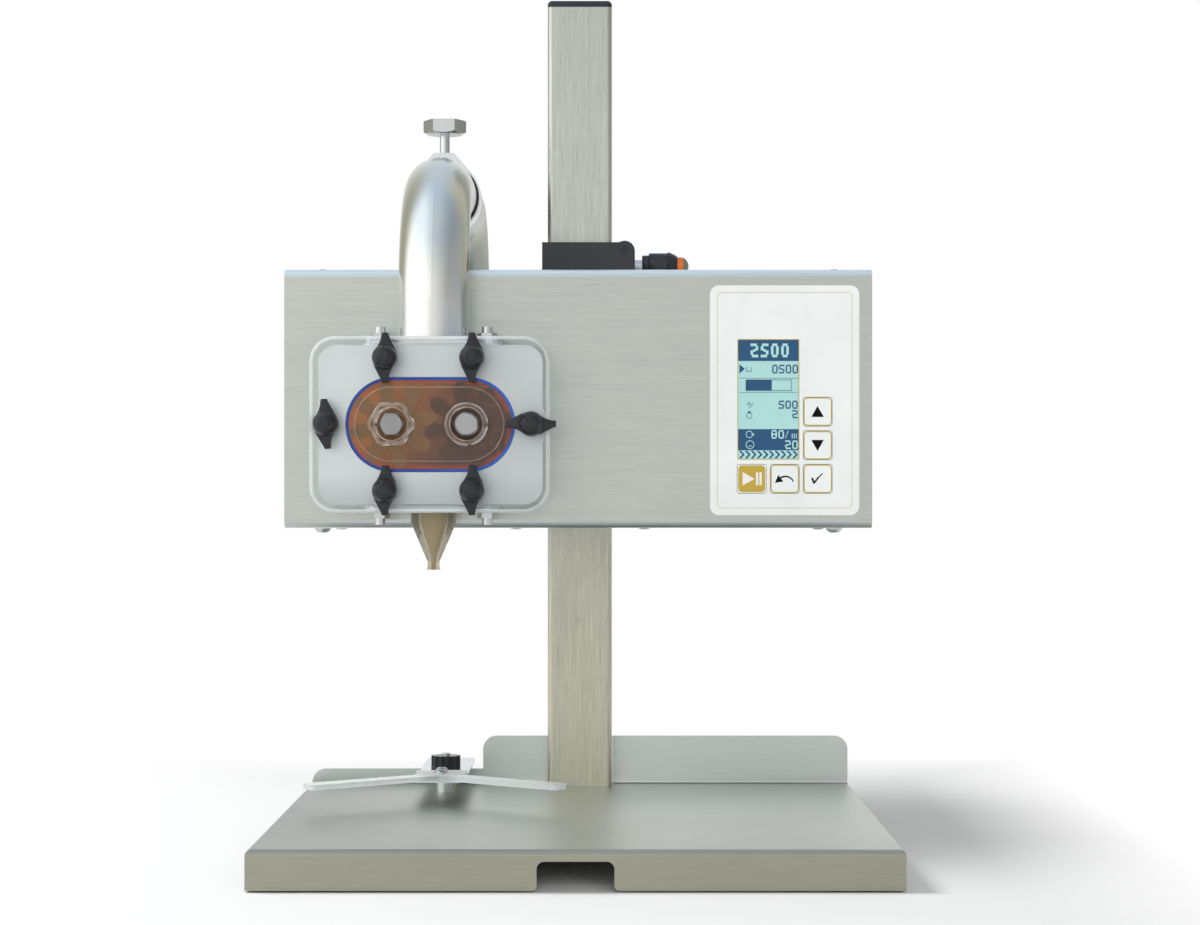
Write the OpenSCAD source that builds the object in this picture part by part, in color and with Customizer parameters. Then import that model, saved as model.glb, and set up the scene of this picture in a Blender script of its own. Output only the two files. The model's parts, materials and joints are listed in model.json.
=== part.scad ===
// Bench-top honey filling machine: a folded base with a square column, a sliding
// head with a twin-rotor pump, and an adjustable jar stop. Millimetres, Z up.
// The origin is on the bench, under the middle of the machine.

/* [Base] */
// Width of the base tray
base_w = 340; // [300:1:400]
// Depth of the base tray, front flange to rear lip
base_d = 300; // [260:1:340]
// Height of the front and side flanges
base_h = 21; // [19:0.5:30]
// Sheet thickness of the base tray
base_sheet = 1.5; // [1:0.1:2]
// Outside radius of the tray's folds
base_bend = 3; // [2.5:0.1:5]
// Height that the rubber feet stand proud of the flanges
foot_proud = 1; // [0.5:0.5:3]
// Diameter of a rubber foot at its top
foot_d = 28; // [22:1:36]
// Distance of a foot's axis from the tray's edges
foot_inset = 24; // [20:1:40]
// Width of the finger recess in the front flange
recess_w = 40; // [25:1:80]
// Height of the finger recess
recess_h = 15; // [8:0.5:16]
// Height of the rear lip above the tray
lip_h = 30; // [15:1:50]
// Height of the lip's low stretch, under the jar stop's strip
lip_low_h = 9.3; // [4:0.1:9.4]
// Corner radius of the lip's ends
lip_r = 8.5; // [3:0.5:9]
// Distance that the lip stays inside the tray's sides
lip_inset = 1.5; // [0.5:0.5:10]
// Distance from the column's axis forward to the lip's rear face
lip_setback = 2; // [0:0.5:8]

/* [Column] */
// Side of the square column tube
column_w = 40; // [36:0.5:42]
// Wall of the column tube
column_wall = 2; // [1.5:0.1:4]
// Outside corner radius of the column tube
column_r = 3; // [2:0.1:5]
// Height of the column's top, without its cap
column_top = 508; // [460:1:600]
// Position of the column's axis behind the origin
column_y = 100; // [80:1:120]
// Height of the cap's head
cap_h = 4; // [2:0.5:8]
// Depth of the cap's plug in the tube
cap_plug = 15; // [8:1:25]
// Width of the foot plate under the tray
foot_plate_w = 120; // [100:1:160]
// Depth of the foot plate, column included
foot_plate_d = 104; // [90:1:120]
// Thickness of the foot plate
foot_plate_t = 5; // [4:0.5:8]

/* [Jar stop] */
// Diameter that the stop centres
jar_d = 82.5; // [60:0.5:90]
// Angle of each arm, from straight across
stop_angle = 36; // [25:1:45]
// Width of an arm
stop_arm_w = 12.5; // [10:0.5:20]
// Length of an arm from the middle
stop_arm_l = 90; // [70:1:105]
// Thickness of the clear plate
stop_plate_t = 3; // [2:0.5:6]
// Width of the strip that carries the plate
strip_w = 30; // [22:1:40]
// Length of the strip behind the plate's middle
strip_l = 122; // [110:1:140]
// Thickness of the strip
strip_t = 2; // [1.5:0.5:4]
// Height of the pillars that carry the strip
pillar_h = 11.6; // [9.8:0.1:14]
// Diameter of a pillar
pillar_d = 12; // [9:0.5:16]
// Travel of the stop each way from its middle
stop_travel = 25; // [5:1:28]
// Diameter of the thumb nut
thumb_d = 18; // [14:1:24]
// Height of the thumb nut
thumb_h = 8; // [6:0.5:12]

/* [Housing] */
// Width of the housing
head_w = 340; // [320:1:400]
// Height of the housing
head_h = 149.8; // [146:0.5:190]
// Distance from the column's axis back to the housing's rear
head_tail = 47; // [44:0.5:60]
// Height of the housing's underside above the bench
head_z = 184.8; // [170:0.5:220]
// Distance from the column's axis forward to the housing's front
head_reach = 136; // [130:1:150]
// Sheet thickness of the housing
head_sheet = 1.5; // [1:0.1:2]
// Outside radius of the housing's folds
head_bend = 5; // [3:0.5:8]
// Width of the side panels' folded flanges
flange_w = 32; // [30:1:40]
// Head diameter of the housing's button-head screws
button_d = 9.6; // [8:0.1:11]
// Head height of the housing's button-head screws
button_h = 2.9; // [2:0.1:4]
// Head diameter of the low screws on the housing's top
low_head_d = 6.4; // [6:0.1:11]
// Head height of those low screws
low_head_h = 1.4; // [1.2:0.1:4]
// Distance of the side screws from the housing's ends
screw_inset = 20.5; // [15:0.5:24]
// Distance of the front screws behind the housing's front
screw_front = 18; // [12:0.5:40]
// Spacing of the front and rear screws
screw_pitch = 110; // [80:1:120]
// Number of cooling slots in the rear cover
vent_count = 7; // [3:1:9]
// Length of a cooling slot
vent_l = 46; // [20:1:60]
// Width of the slide block round the column
guide_w = 100; // [92:1:110]
// Wall of the slide block before and behind the column
guide_wall = 9.7; // [6:0.1:12]
// Height of the slide block round the column
guide_h = 16; // [10:1:30]

/* [Pump] */
// Position of the pump's middle to the side of the column
pump_x = -82; // [-90:0.5:-80]
// Height of the pump's middle above the housing's underside
pump_lift = 58.5; // [54:0.5:70]
// Width of the pump body
pump_w = 124.4; // [120:0.2:132]
// Height of the pump body
pump_h = 88; // [86:0.5:92]
// Depth of the pump body
pump_d = 50; // [50:0.5:60]
// Thickness of the body's front rim, which has the ears for the cover's studs
rim_t = 4; // [2:0.1:4]
// Corner radius of the pump body
pump_r = 10; // [5:0.5:16]
// Thickness of the wall behind the rotors
pump_back = 10; // [8:0.5:12]
// Radius of the ears round the cover's studs
ear_r = 9.6; // [9.5:0.1:10.5]
// Radius of the fillets beside the ears
ear_fillet = 8; // [3:0.5:12]
// Cord diameter of the cover's seal
seal_cord = 1.7; // [1.2:0.1:2.4]
// Diameter of the thread of the studs
stud_d = 6; // [5:0.5:6.5]
// Sideways distance of the upper and lower cover studs from the middle
knob_dx = 24; // [20:0.5:30]
// Distance of the upper and lower cover studs above and below the middle
knob_dz = 36.6; // [34:0.2:37]
// Distance of the two side studs from the middle
knob_side = 56.6; // [54:0.2:57]

/* [Rotors] */
// Number of lobes on a rotor
lobes = 8; // [7:1:9]
// Distance between the rotors' axes
rotor_pitch = 41.6; // [40:0.1:42]
// Pressure angle of the lobes' flanks
pressure = 30; // [29:0.5:31]
// Outside radius of a rotor
rotor_r = 24.5; // [24:0.1:24.6]
// Radius of the rounded hollows between the lobes
hollow_r = 3; // [2.4:0.1:3.2]
// Distance of those hollows from the rotor's axis
hollow_at = 16.9; // [16.6:0.1:17.1]
// Angle that each flank is drawn back, which makes the play
flank_play = 0.6; // [0.3:0.1:1.2]
// Turn of the driven rotor's first lobe
rotor_phase = 11; // [0:1:45]
// Width across flats of the driven shaft's end
hex_af = 12; // [10:0.5:13]
// Diameter of the driven shaft behind the rotor
shaft_d = 12; // [9:0.5:12]
// Diameter of the fixed pin that carries the second rotor
pin_d = 13.2; // [10:0.2:14]

/* [Cover and knobs] */
// Width of the clear cover
cover_w = 133.4; // [132:0.2:142]
// Height of the clear cover
cover_h = 98.2; // [96:0.2:104]
// Thickness of the clear cover
cover_t = 12; // [8:0.5:16]
// Corner radius of the clear cover
cover_r = 14.3; // [8:0.1:20]
// Chamfer on the cover's front edge
cover_chamfer = 1.6; // [0.5:0.1:3]
// Height of the raised window on the cover
window_h = 1.5; // [0.5:0.1:2.2]
// Distance of the raised window's edge inside the chamber's edge
window_step = 3.9; // [2:0.1:5]
// Width of the domes over the shaft ends
dome_d = 24; // [22:0.5:26]
// Height of the domes
dome_h = 8; // [6:0.5:12]
// Diameter of the pockets in the domes
dome_bore = 19.8; // [16:0.2:20]
// Length of a knob from tip to tip
knob_l = 27.6; // [22:0.2:29]
// Diameter of a knob's hub
knob_hub = 13.8; // [11.5:0.1:14]
// Width of a knob's tip
knob_tip = 3.5; // [3:0.1:5]
// Height of a knob
knob_h = 18; // [17:0.5:24]
// Height of a knob's foot, under its wings
knob_foot = 3; // [2.8:0.1:5]

/* [Inlet] */
// Outside diameter of the inlet pipe
pipe_d = 40; // [36:0.5:40]
// Wall of the inlet pipe
pipe_wall = 1.5; // [1:0.1:2.5]
// Bend radius of the front pipe, at its axis
bend_front = 70; // [56:1:71]
// Height of the pipe's level stretch above the pump's middle
pipe_rise = 140.9; // [138:0.1:160]
// Distance of the turning joint behind the front bend
joint_run = 26; // [20:1:40]
// Wall of the rear elbow
elbow_wall = 1.45; // [1:0.05:2.5]
// Length of the front pipe inside the rear elbow
joint_overlap = 42; // [25:1:60]
// Distance from the turning joint to the rear bend
elbow_run = 79.5; // [76:0.5:90]
// Bend radius of the rear elbow, at its axis
bend_rear = 66; // [60:1:75]
// Length of the rear elbow's straight lower end
elbow_leg = 60; // [40:1:80]
// Cord diameter of the joint's O-ring
ring_cord = 1.2; // [1.2:0.1:2.4]
// Length of the collar at the joint
collar_l = 18; // [14:0.5:24]
// Wall of the collar at the joint
collar_wall = 2.2; // [1.6:0.1:3]
// Width of the flat boss on the collar
boss_w = 12.3; // [10:0.1:16]
// Height of the boss above the pipe's axis
boss_h = 27; // [25:0.1:32]
// Diameter of the lock screw's stem
lock_d = 6; // [5:0.5:8]
// Length of the stem between boss and head
lock_stem = 12; // [8:0.5:20]
// Width across flats of the lock screw's head
lock_af = 22.5; // [16:0.5:26]
// Height of the lock screw's head
lock_head = 8.5; // [6:0.5:12]

/* [Ports and nozzle] */
// Bore of the pump's inlet port
inlet_bore = 28; // [20:1:30]
// Bore of the pump's outlet port
outlet_bore = 15; // [10:0.5:18]
// Thickness of a port's gasket
gasket_t = 1; // [0.5:0.1:2]
// Thickness of a port's flange
port_flange_t = 2.5; // [2:0.1:4]
// Sideways distance of the ports' studs from the middle
port_stud_dx = 30.4; // [29:0.2:32]
// Depth of the ports' flanges
port_flange_d = 41; // [40:0.5:41]
// Width across flats of the studs' nuts
nut_af = 10; // [9:0.5:10]
// Height of the studs' nuts
nut_h = 5; // [4:0.5:6]
// Outside diameter of the nozzle's body
nozzle_d = 25.7; // [22:0.1:27]
// Length of the nozzle's straight body below its flange
nozzle_body = 7.9; // [5:0.1:12]
// Length of the nozzle's cone
nozzle_cone = 21.7; // [15:0.1:30]
// Outside diameter of the nozzle's tip
tip_d = 6.7; // [5:0.1:8]
// Bore of the nozzle's tip
tip_bore = 2.6; // [1.5:0.1:3.5]
// Length of the nozzle's tip
tip_l = 4.6; // [3:0.1:8]

/* [Control panel] */
// Width of the control panel
panel_w = 86.3; // [84:0.1:90]
// Height of the control panel
panel_h = 132.9; // [128:0.1:140]
// Corner radius of the control panel
panel_r = 5.3; // [2:0.1:8]
// Thickness of the control panel
panel_t = 0.8; // [0.5:0.1:1.5]
// Distance of the panel's middle from the column's axis
panel_x = 119.3; // [112:0.5:122]
// Height of the panel's middle above the housing's underside
panel_lift = 73.9; // [72:0.5:90]
// Width of the display
display_w = 35.1; // [30:0.1:36]
// Height of the display
display_h = 69; // [60:0.5:70]
// Distance of the display's middle to the left of the panel's
display_left = 9.4; // [8:0.1:10]
// Height of the display's middle above the panel's
display_up = 0.5; // [0:0.1:4]
// Side of a key
key_w = 16.5; // [12:0.1:17]
// Distance of the key column to the right of the panel's middle
key_right = 19.1; // [18.8:0.1:30]
// Distance of the lowest keys below the panel's middle
key_down_z = 45.4; // [44.5:0.1:54]
// Sideways distance from key to key
key_pitch = 19.05; // [19:0.05:22]
// Distance from key to key up the column
key_pitch_z = 19.4; // [19:0.1:24]
// Travel of a key
key_travel = 0.5; // [0.2:0.1:0.8]

/* [Clamp] */
// Height of the clamp collar
clamp_h = 25; // [22:0.5:40]
// Depth of the clamp collar
clamp_d = 76; // [60:1:90]
// Distance of the collar's left face from the column's axis
clamp_left = 23.1; // [22.5:0.1:30]
// Distance of the collar's right face from the column's axis
clamp_right = 34.1; // [33:0.1:45]
// Radius of the rounded bead along the collar's top right edge
bead_r = 6.3; // [5:0.1:7]
// Height that this bead stands proud of the collar
bead_proud = 0.9; // [0.3:0.1:2]
// Diameter of the clamp screw
clamp_screw_d = 8; // [6:0.5:9]
// Height of the clamp screw above the housing
clamp_screw_z = 13.4; // [12.5:0.1:14]
// Diameter of the lever's hub
hub_d = 16.4; // [14:0.2:18]
// Length of the lever from the screw's axis
lever_l = 66; // [45:1:80]
// Travel of the lever's push button
button_travel = 2; // [1:0.5:3]

/* [Drive] */
// Diameter of the gearbox
gearbox_d = 60; // [50:1:62]
// Length of the gearbox
gearbox_l = 36; // [25:1:45]
// Diameter of the motor
motor_d = 56; // [45:1:60]
// Length of the motor
motor_l = 75; // [50:1:80]
// Thickness of the motor's mounting plate
motor_plate_t = 6; // [4:0.5:8]
// Width of the power supply
supply_w = 80; // [60:1:90]
// Depth of the power supply
supply_d = 60; // [40:1:66]
// Height of the power supply
supply_h = 36; // [25:1:40]
// Distance from the column's axis forward to the supply's front
supply_reach = 78; // [70:1:90]
// Width of the mains inlet's body
socket_w = 28; // [24:0.5:32]
// Height of the mains inlet's body
socket_h = 48; // [46:0.5:56]
// Width of the rim round the mains inlet
socket_rim = 3; // [2:0.5:5]

/* [Clearances] */
// Radial play of shafts, screws and pins that turn
turn_gap = 0.05; // [0.02:0.01:0.1]
// Play between the column and what slides on it
slide_gap = 0.3; // [0.2:0.05:0.5]
// Gap between faces that move past each other
face_gap = 0.2; // [0.1:0.05:0.3]
// Play of pieces set into fixed openings
seat_gap = 0.1; // [0.05:0.05:0.2]
// Radial gap between rotor and chamber
rotor_gap = 0.3; // [0.2:0.05:0.4]

/* [Hidden] */
$fn = 48;
eps = 0.01;
// How far a tangent line or arc is let into the circle that it meets
bite = 0.05;

// Colours
steel = [0.74, 0.74, 0.71];
bright_steel = [0.82, 0.84, 0.86];
satin = [0.84, 0.86, 0.87];
black = [0.16, 0.17, 0.18];
clear = [0.88, 0.92, 0.93, 0.45];
smoky = [0.62, 0.55, 0.42, 0.8];
seal_blue = [0.14, 0.34, 0.8];

// Base
plate_top = foot_proud + base_h;
plate_under = plate_top - base_sheet;
base_rear = column_y - lip_setback;
base_front = base_rear - base_d;
lip_step_x = pump_x + strip_w/2 + 6;
foot_plate_rear = column_y + column_w/2 + 2;
foot_plate_front = foot_plate_rear - foot_plate_d;
plate_stud_dx = foot_plate_w/2 - 14;
plate_stud_ys = [foot_plate_front + 14, base_rear - 16];
plate_stud_l = foot_plate_t + nut_h + 1;
foot_stud_d = 5;
foot_nut_af = 8;
foot_nut_h = 4;
foot_pocket_top = 11;
foot_spots = [for (x = [-1, 1], y = [base_front + foot_inset, base_rear - foot_inset])
    [x*(base_w/2 - foot_inset), y]];

// Housing
head_front = column_y - head_reach;
head_rear = column_y + head_tail;
head_top = head_z + head_h;
inner_x = head_w/2 - seat_gap;
screw_x = head_w/2 - screw_inset;
screw_ys = [head_front + screw_front, head_front + screw_front + screw_pitch];
guide_screw_x = column_w/2 + 20.4;
screw_d = 5;
column_hole = column_w + 2*slide_gap;
rear_screw_x = head_w/2 - 9;
rear_screw_zs = [head_z + 30, head_top - 30];

// Pump
pump_z = head_z + pump_lift;
pump_face = head_front - pump_d;
cover_front = pump_face - cover_t;
port_y = (pump_face + head_front)/2;
chamber_r = rotor_r + rotor_gap;
chamber_rear = head_front - pump_back;
drive_x = pump_x - rotor_pitch/2;
idler_x = pump_x + rotor_pitch/2;
seal_r = chamber_r + seal_cord/2;
stud_tip = cover_front - 10;
cover_stud_depth = 16;
port_stud_depth = 12;
bolt_dx = pump_w/2 - 9;
bolt_dz = pump_h/2 - 10;
bolt_depth = 13;
knob_spots = [[-knob_dx, knob_dz, 0], [knob_dx, knob_dz, 0], [-knob_dx, -knob_dz, 0],
    [knob_dx, -knob_dz, 0], [-knob_side, 0, 4.6], [knob_side, 0, 90]];
flange_top = pump_z + pump_h/2 + gasket_t + port_flange_t;
flange_bottom = pump_z - pump_h/2 - gasket_t - port_flange_t;
shaft_tip = cover_front - dome_h + 3.5;

// Rotors
tooth_pitch = 360/lobes;
pitch_r = rotor_pitch/2;
base_circle = pitch_r*cos(pressure);
root_r = hollow_at - hollow_r + 1.7;
idler_phase = 180 - rotor_phase - tooth_pitch/2;
flank_steps = 6;

// Inlet
pipe_r = pipe_d/2;
pipe_z = pump_z + pipe_rise;
bend_start_y = port_y + bend_front;
joint_y = bend_start_y + joint_run;
sleeve_r = pipe_r + turn_gap;
elbow_r = sleeve_r + elbow_wall;
collar_r = sleeve_r + collar_wall;
rear_bend_y = joint_y + elbow_run;
rear_leg_y = rear_bend_y + bend_rear;
lock_y = joint_y + ring_cord/2 + collar_l/2;
lock_under = pipe_z + boss_h + lock_stem;

// Jar stop
strip_z = plate_top + pillar_h + face_gap;
stop_z = strip_z + strip_t;
stop_apex = port_y + (jar_d/2 + face_gap + stop_arm_w/2)/cos(stop_angle);
tab_l = 22;
pillar_ys = [stop_apex + 57, stop_apex + 85];
slot_w = foot_stud_d + 1.4;
slot_l = pillar_ys[1] - pillar_ys[0] + 2*stop_travel + slot_w;
slot_y = (pillar_ys[0] + pillar_ys[1])/2;
tab_screw_ys = [stop_apex + 6, stop_apex + 17];

// Control panel
panel_z = head_z + panel_lift;
display_x = panel_x - display_left;
display_z = panel_z + display_up;
key_col = panel_x + key_right;
key_low = panel_z - key_down_z;
// Each key's middle: up, down, start, back, confirm
key_spots = [[key_col, key_low + 2*key_pitch_z], [key_col, key_low + key_pitch_z],
    [key_col - 2*key_pitch, key_low], [key_col - key_pitch, key_low], [key_col, key_low]];
board_y = head_front + head_sheet + 7;
key_front = head_front - panel_t - 0.3;
key_t = 2.1;

// Drive and mains
gearbox_front = head_front + head_sheet + motor_plate_t;
socket_x = 112;
socket_z = head_z + 44;

// Clamp
lever_z = head_top + clamp_screw_z;
pad_t = 2.5;
bead_x = clamp_right - bead_r;
bead_z = head_top + clamp_h + bead_proud - bead_r;
clamp_front = column_y - clamp_d/2;
hub_x = clamp_right + 5.1;

// Extrudes an X-Z drawing from one Y to another
module along_y(y0, y1) {
    translate([0, y1, 0]) rotate([90, 0, 0]) linear_extrude(y1 - y0) children();
}

// Extrudes a Y-Z drawing from one X to another
module along_x(x0, x1) {
    translate([x0, 0, 0]) rotate([90, 0, 90]) linear_extrude(x1 - x0) children();
}

// Extrudes an X-Y drawing from one Z to another
module along_z(z0, z1) {
    translate([0, 0, z0]) linear_extrude(z1 - z0) children();
}

// Rectangle between two corners
module rect(p, q) {
    translate(p) square(q - p);
}

// Rounded rectangle centred on the origin
module rounded_rect(w, h, r) {
    square([w - 2*r, h], center = true);
    square([w, h - 2*r], center = true);
    for (x = [-1, 1], y = [-1, 1]) translate([x*(w/2 - r), y*(h/2 - r)]) circle(r);
}

// What is cut away to round the corner at p, where the solid lies towards dir
module corner_cut(p, dir, r) {
    difference() {
        translate(p + dir*(r - 1)/2) square(r + 1, center = true);
        translate(p + dir*r) circle(r);
    }
}

// Slot with round ends, centred on the origin, long side along X
module slot(l, w) {
    square([l - w, w], center = true);
    for (x = [-1, 1]) translate([x*(l - w)/2, 0]) circle(w/2);
}

// Hexagon by its width across flats, with corners left and right
module hexagon(af) {
    circle(af/2/cos(30), $fn = 6);
}

// Rod or bore along Z between two heights
module rod_z(r, z0, z1) {
    translate([0, 0, z0]) cylinder(h = z1 - z0, r = r);
}

// Rod or bore along Y between two depths
module rod_y(r, y0, y1) {
    translate([0, y0, 0]) rotate([-90, 0, 0]) cylinder(h = y1 - y0, r = r);
}

// Rod or bore along X between two places
module rod_x(r, x0, x1) {
    translate([x0, 0, 0]) rotate([0, 90, 0]) cylinder(h = x1 - x0, r = r);
}

// Plate in X-Y with rounded corners and a chamfered top edge
module chamfered_plate(w, h, r, t, c) {
    along_z(0, t - c) rounded_rect(w, h, r);
    translate([0, 0, t - c]) {
        for (x = [-1, 1], y = [-1, 1]) {
            translate([x*(w/2 - r), y*(h/2 - r), 0]) cylinder(h = c, r1 = r, r2 = r - c);
        }
        along_x(-w/2 + r, w/2 - r) polygon([[-h/2, 0], [h/2, 0], [h/2 - c, c], [c - h/2, c]]);
        along_y(-h/2 + r, h/2 - r) polygon([[-w/2, 0], [w/2, 0], [w/2 - c, c], [c - w/2, c]]);
    }
}

// Hexagon nut standing on Z = 0
module nut(af, h, bore) {
    difference() {
        along_z(0, h) hexagon(af);
        rod_z(bore/2, -1, h + 1);
    }
}

// Button-head screw: head up from Z = 0, shank down, hexagon socket
module button_screw(d, head_d, head_h, shank) {
    difference() {
        rotate_extrude() polygon([[0, -shank], [d/2, -shank], [d/2, 0], [head_d/2, 0],
            [head_d/2, head_h*0.25], [head_d*0.42, head_h*0.66], [head_d*0.3, head_h*0.95],
            [head_d*0.2, head_h], [0, head_h]]);
        translate([0, 0, head_h*0.4]) cylinder(h = head_h, r = head_d*0.18, $fn = 6);
    }
}

// Solid inside the tray's folds, drawn in by inset
module tray_block(inset) {
    low = foot_proud - (inset > 0 ? 1 : 0);
    r = base_bend - inset;
    high = plate_top - inset;
    side = base_w/2 - inset;
    fold_y = base_rear - base_bend + (inset > 0 ? 1 : 0);
    intersection() {
        along_x(-base_w/2, base_w/2) difference() {
            rect([base_front + inset, low], [fold_y, high]);
            corner_cut([base_front + inset, high], [1, -1], r);
        }
        along_y(base_front, base_rear + 1) difference() {
            rect([-side, low], [side, high]);
            corner_cut([-side, high], [1, -1], r);
            corner_cut([side, high], [-1, -1], r);
        }
    }
}

// Rear lip with its fold, its rounded ends and its low stretch
module rear_lip() {
    end = base_w/2 - lip_inset;
    fold = [base_rear - base_bend, plate_under + base_bend];
    intersection() {
        along_x(-end, end) {
            intersection() {
                translate(fold) difference() {
                    circle(base_bend);
                    circle(base_bend - base_sheet);
                }
                rect([fold.x - eps, plate_under], [base_rear, fold.y]);
            }
            rect([base_rear - base_sheet, fold.y], [base_rear, plate_top + lip_h]);
        }
        along_y(base_rear - base_bend - 1, base_rear + 1) {
            difference() {
                rect([lip_step_x, plate_under], [end, plate_top + lip_h]);
                corner_cut([lip_step_x, plate_top + lip_h], [1, -1], lip_r);
                corner_cut([end, plate_top + lip_h], [-1, -1], lip_r);
            }
            difference() {
                rect([-end, plate_under], [lip_step_x + eps, plate_top + lip_low_h]);
                corner_cut([-end, plate_top + lip_low_h], [1, -1], min(lip_r, lip_low_h));
            }
        }
    }
}

// Finger recess, with rounded top corners and flared lower ones
module recess_shape() {
    corner = 4;
    flare = 2.6;
    translate([0, foot_proud]) {
        difference() {
            rect([-recess_w/2, -1], [recess_w/2, recess_h]);
            corner_cut([-recess_w/2, recess_h], [1, -1], corner);
            corner_cut([recess_w/2, recess_h], [-1, -1], corner);
        }
        for (s = [-1, 1]) difference() {
            translate([s*(recess_w/2 + flare/2), (flare - 1)/2])
                square([flare, flare + 1], center = true);
            translate([s*(recess_w/2 + flare), flare]) circle(flare);
            translate([s*(recess_w/2 + flare), flare*1.5]) square([2*flare, flare], center = true);
        }
    }
}

module base_plate() {
    notch = column_w/2 + slide_gap;
    color(steel) {
        difference() {
            union() {
                difference() {
                    tray_block(0);
                    tray_block(base_sheet);
                }
                rear_lip();
            }
            translate([-notch, column_y - notch, 0]) cube([2*notch, column_w, column_top]);
            along_y(base_front - 1, base_front + base_bend + 1) recess_shape();
            for (y = pillar_ys) translate([pump_x, y, 0]) {
                rod_z(foot_stud_d/2 + seat_gap, plate_under - 1, plate_top + 1);
            }
        }
        for (x = [-1, 1], y = plate_stud_ys) translate([x*plate_stud_dx, y, 0]) {
            rod_z(stud_d/2, plate_under - plate_stud_l, plate_under + eps);
        }
        for (p = foot_spots) translate([p.x, p.y, 0]) {
            rod_z(foot_stud_d/2, foot_pocket_top - foot_nut_h - 1, plate_under + eps);
        }
    }
}

module column() {
    inside = column_w - 2*column_wall;
    color(steel) {
        translate([0, column_y, 0]) difference() {
            along_z(plate_under, column_top) rounded_rect(column_w, column_w, column_r);
            along_z(plate_under, column_top + 1)
                rounded_rect(inside, inside, max(column_r - column_wall, 0.5));
        }
        difference() {
            translate([0, (foot_plate_front + foot_plate_rear)/2, 0])
                along_z(plate_under - foot_plate_t, plate_under)
                    rounded_rect(foot_plate_w, foot_plate_d, 6);
            for (x = [-1, 1], y = plate_stud_ys) translate([x*plate_stud_dx, y, 0]) {
                rod_z(stud_d/2 + seat_gap, plate_under - foot_plate_t - 1, plate_under + 1);
            }
        }
    }
}

module column_cap() {
    plug = column_w - 2*column_wall - 2*seat_gap;
    color(black) translate([0, column_y, column_top]) {
        chamfered_plate(column_w, column_w, column_r, cap_h, min(1.5, cap_h/2));
        difference() {
            along_z(-cap_plug, eps) rounded_rect(plug, plug, 1);
            along_z(-cap_plug - 1, -1) rounded_rect(plug - 4, plug - 4, 1);
        }
    }
}

module stud_nuts() {
    color(bright_steel) {
        for (x = [-1, 1], y = plate_stud_ys) {
            translate([x*plate_stud_dx, y, plate_under - foot_plate_t - nut_h])
                nut(nut_af, nut_h, stud_d + 2*seat_gap);
        }
        for (p = foot_spots) translate([p.x, p.y, foot_pocket_top - foot_nut_h]) {
            nut(foot_nut_af, foot_nut_h, foot_stud_d + 2*seat_gap);
        }
        for (y = pillar_ys) translate([pump_x, y, plate_under - foot_nut_h]) {
            nut(foot_nut_af, foot_nut_h, foot_stud_d + 2*seat_gap);
        }
        translate([pump_x, pillar_ys[1], stop_z + face_gap])
            nut(foot_nut_af, foot_nut_h, foot_stud_d + 2*seat_gap);
    }
}

module rubber_feet() {
    color(black) for (p = foot_spots) translate([p.x, p.y, 0]) difference() {
        cylinder(h = plate_under, r1 = foot_d/2 - 2, r2 = foot_d/2);
        rod_z(foot_nut_af*0.75, -1, foot_pocket_top);
        rod_z(foot_stud_d/2 + seat_gap, 0, plate_under + 1);
    }
}

// Two pillars with threaded ends, which carry and guide the strip
module stop_pillars() {
    tops = [stop_z + face_gap + thumb_h + 1.5, stop_z + face_gap + foot_nut_h + 1];
    color(bright_steel) for (i = [0, 1]) translate([pump_x, pillar_ys[i], 0]) {
        rod_z(pillar_d/2, plate_top, plate_top + pillar_h);
        rod_z(foot_stud_d/2, plate_under - foot_nut_h - 1, tops[i]);
    }
}

module jar_stop_plate() {
    color(clear) difference() {
        translate([pump_x, stop_apex, 0]) along_z(stop_z, stop_z + stop_plate_t) {
            for (turn = [-stop_angle, 180 + stop_angle]) rotate(turn)
                translate([stop_arm_l/2, 0]) rounded_rect(stop_arm_l, stop_arm_w, 3);
            circle(stop_arm_w/2);
            translate([0, tab_l/2]) rounded_rect(strip_w, tab_l, 2);
        }
        for (y = tab_screw_ys) translate([pump_x, y, 0]) {
            rod_z(2 + seat_gap, stop_z - 1, stop_z + stop_plate_t + 1);
        }
    }
}

module jar_stop_strip() {
    front = stop_apex - stop_arm_w/4;
    color(bright_steel) difference() {
        along_z(strip_z, strip_z + strip_t) translate([pump_x, (front + stop_apex + strip_l)/2])
            rounded_rect(strip_w, strip_l + stop_arm_w/4, 4);
        along_z(strip_z - 1, strip_z + strip_t + 1) translate([pump_x, slot_y]) rotate(90)
            slot(slot_l, slot_w);
        for (y = tab_screw_ys) translate([pump_x, y, 0]) {
            rod_z(2 + seat_gap, strip_z - 1, strip_z + strip_t + 1);
        }
    }
}

module jar_stop_screws() {
    color(bright_steel) for (y = tab_screw_ys) translate([pump_x, y, stop_z + stop_plate_t]) {
        button_screw(4, 7.6, 2.2, stop_plate_t + strip_t);
    }
}

module thumb_nut() {
    grips = 12;
    color(black) translate([pump_x, pillar_ys[0], stop_z + face_gap]) difference() {
        rod_z(thumb_d/2, 0, thumb_h);
        rod_z(foot_stud_d/2 + turn_gap, -1, thumb_h + 1);
        for (i = [0 : grips - 1]) rotate(i*360/grips) translate([thumb_d/2 + 0.8, 0, 0]) {
            rod_z(2, 2, thumb_h + 1);
        }
    }
}

// Side view of the housing, drawn in by inset, open to the rear
module shell_side(inset) {
    front = head_front + inset;
    rear = head_rear - head_sheet + (inset > 0 ? 1 : 0);
    difference() {
        rect([front, head_z + inset], [rear, head_top - inset]);
        corner_cut([front, head_z + inset], [1, 1], head_bend - inset);
        corner_cut([front, head_top - inset], [1, -1], head_bend - inset);
    }
}

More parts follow.
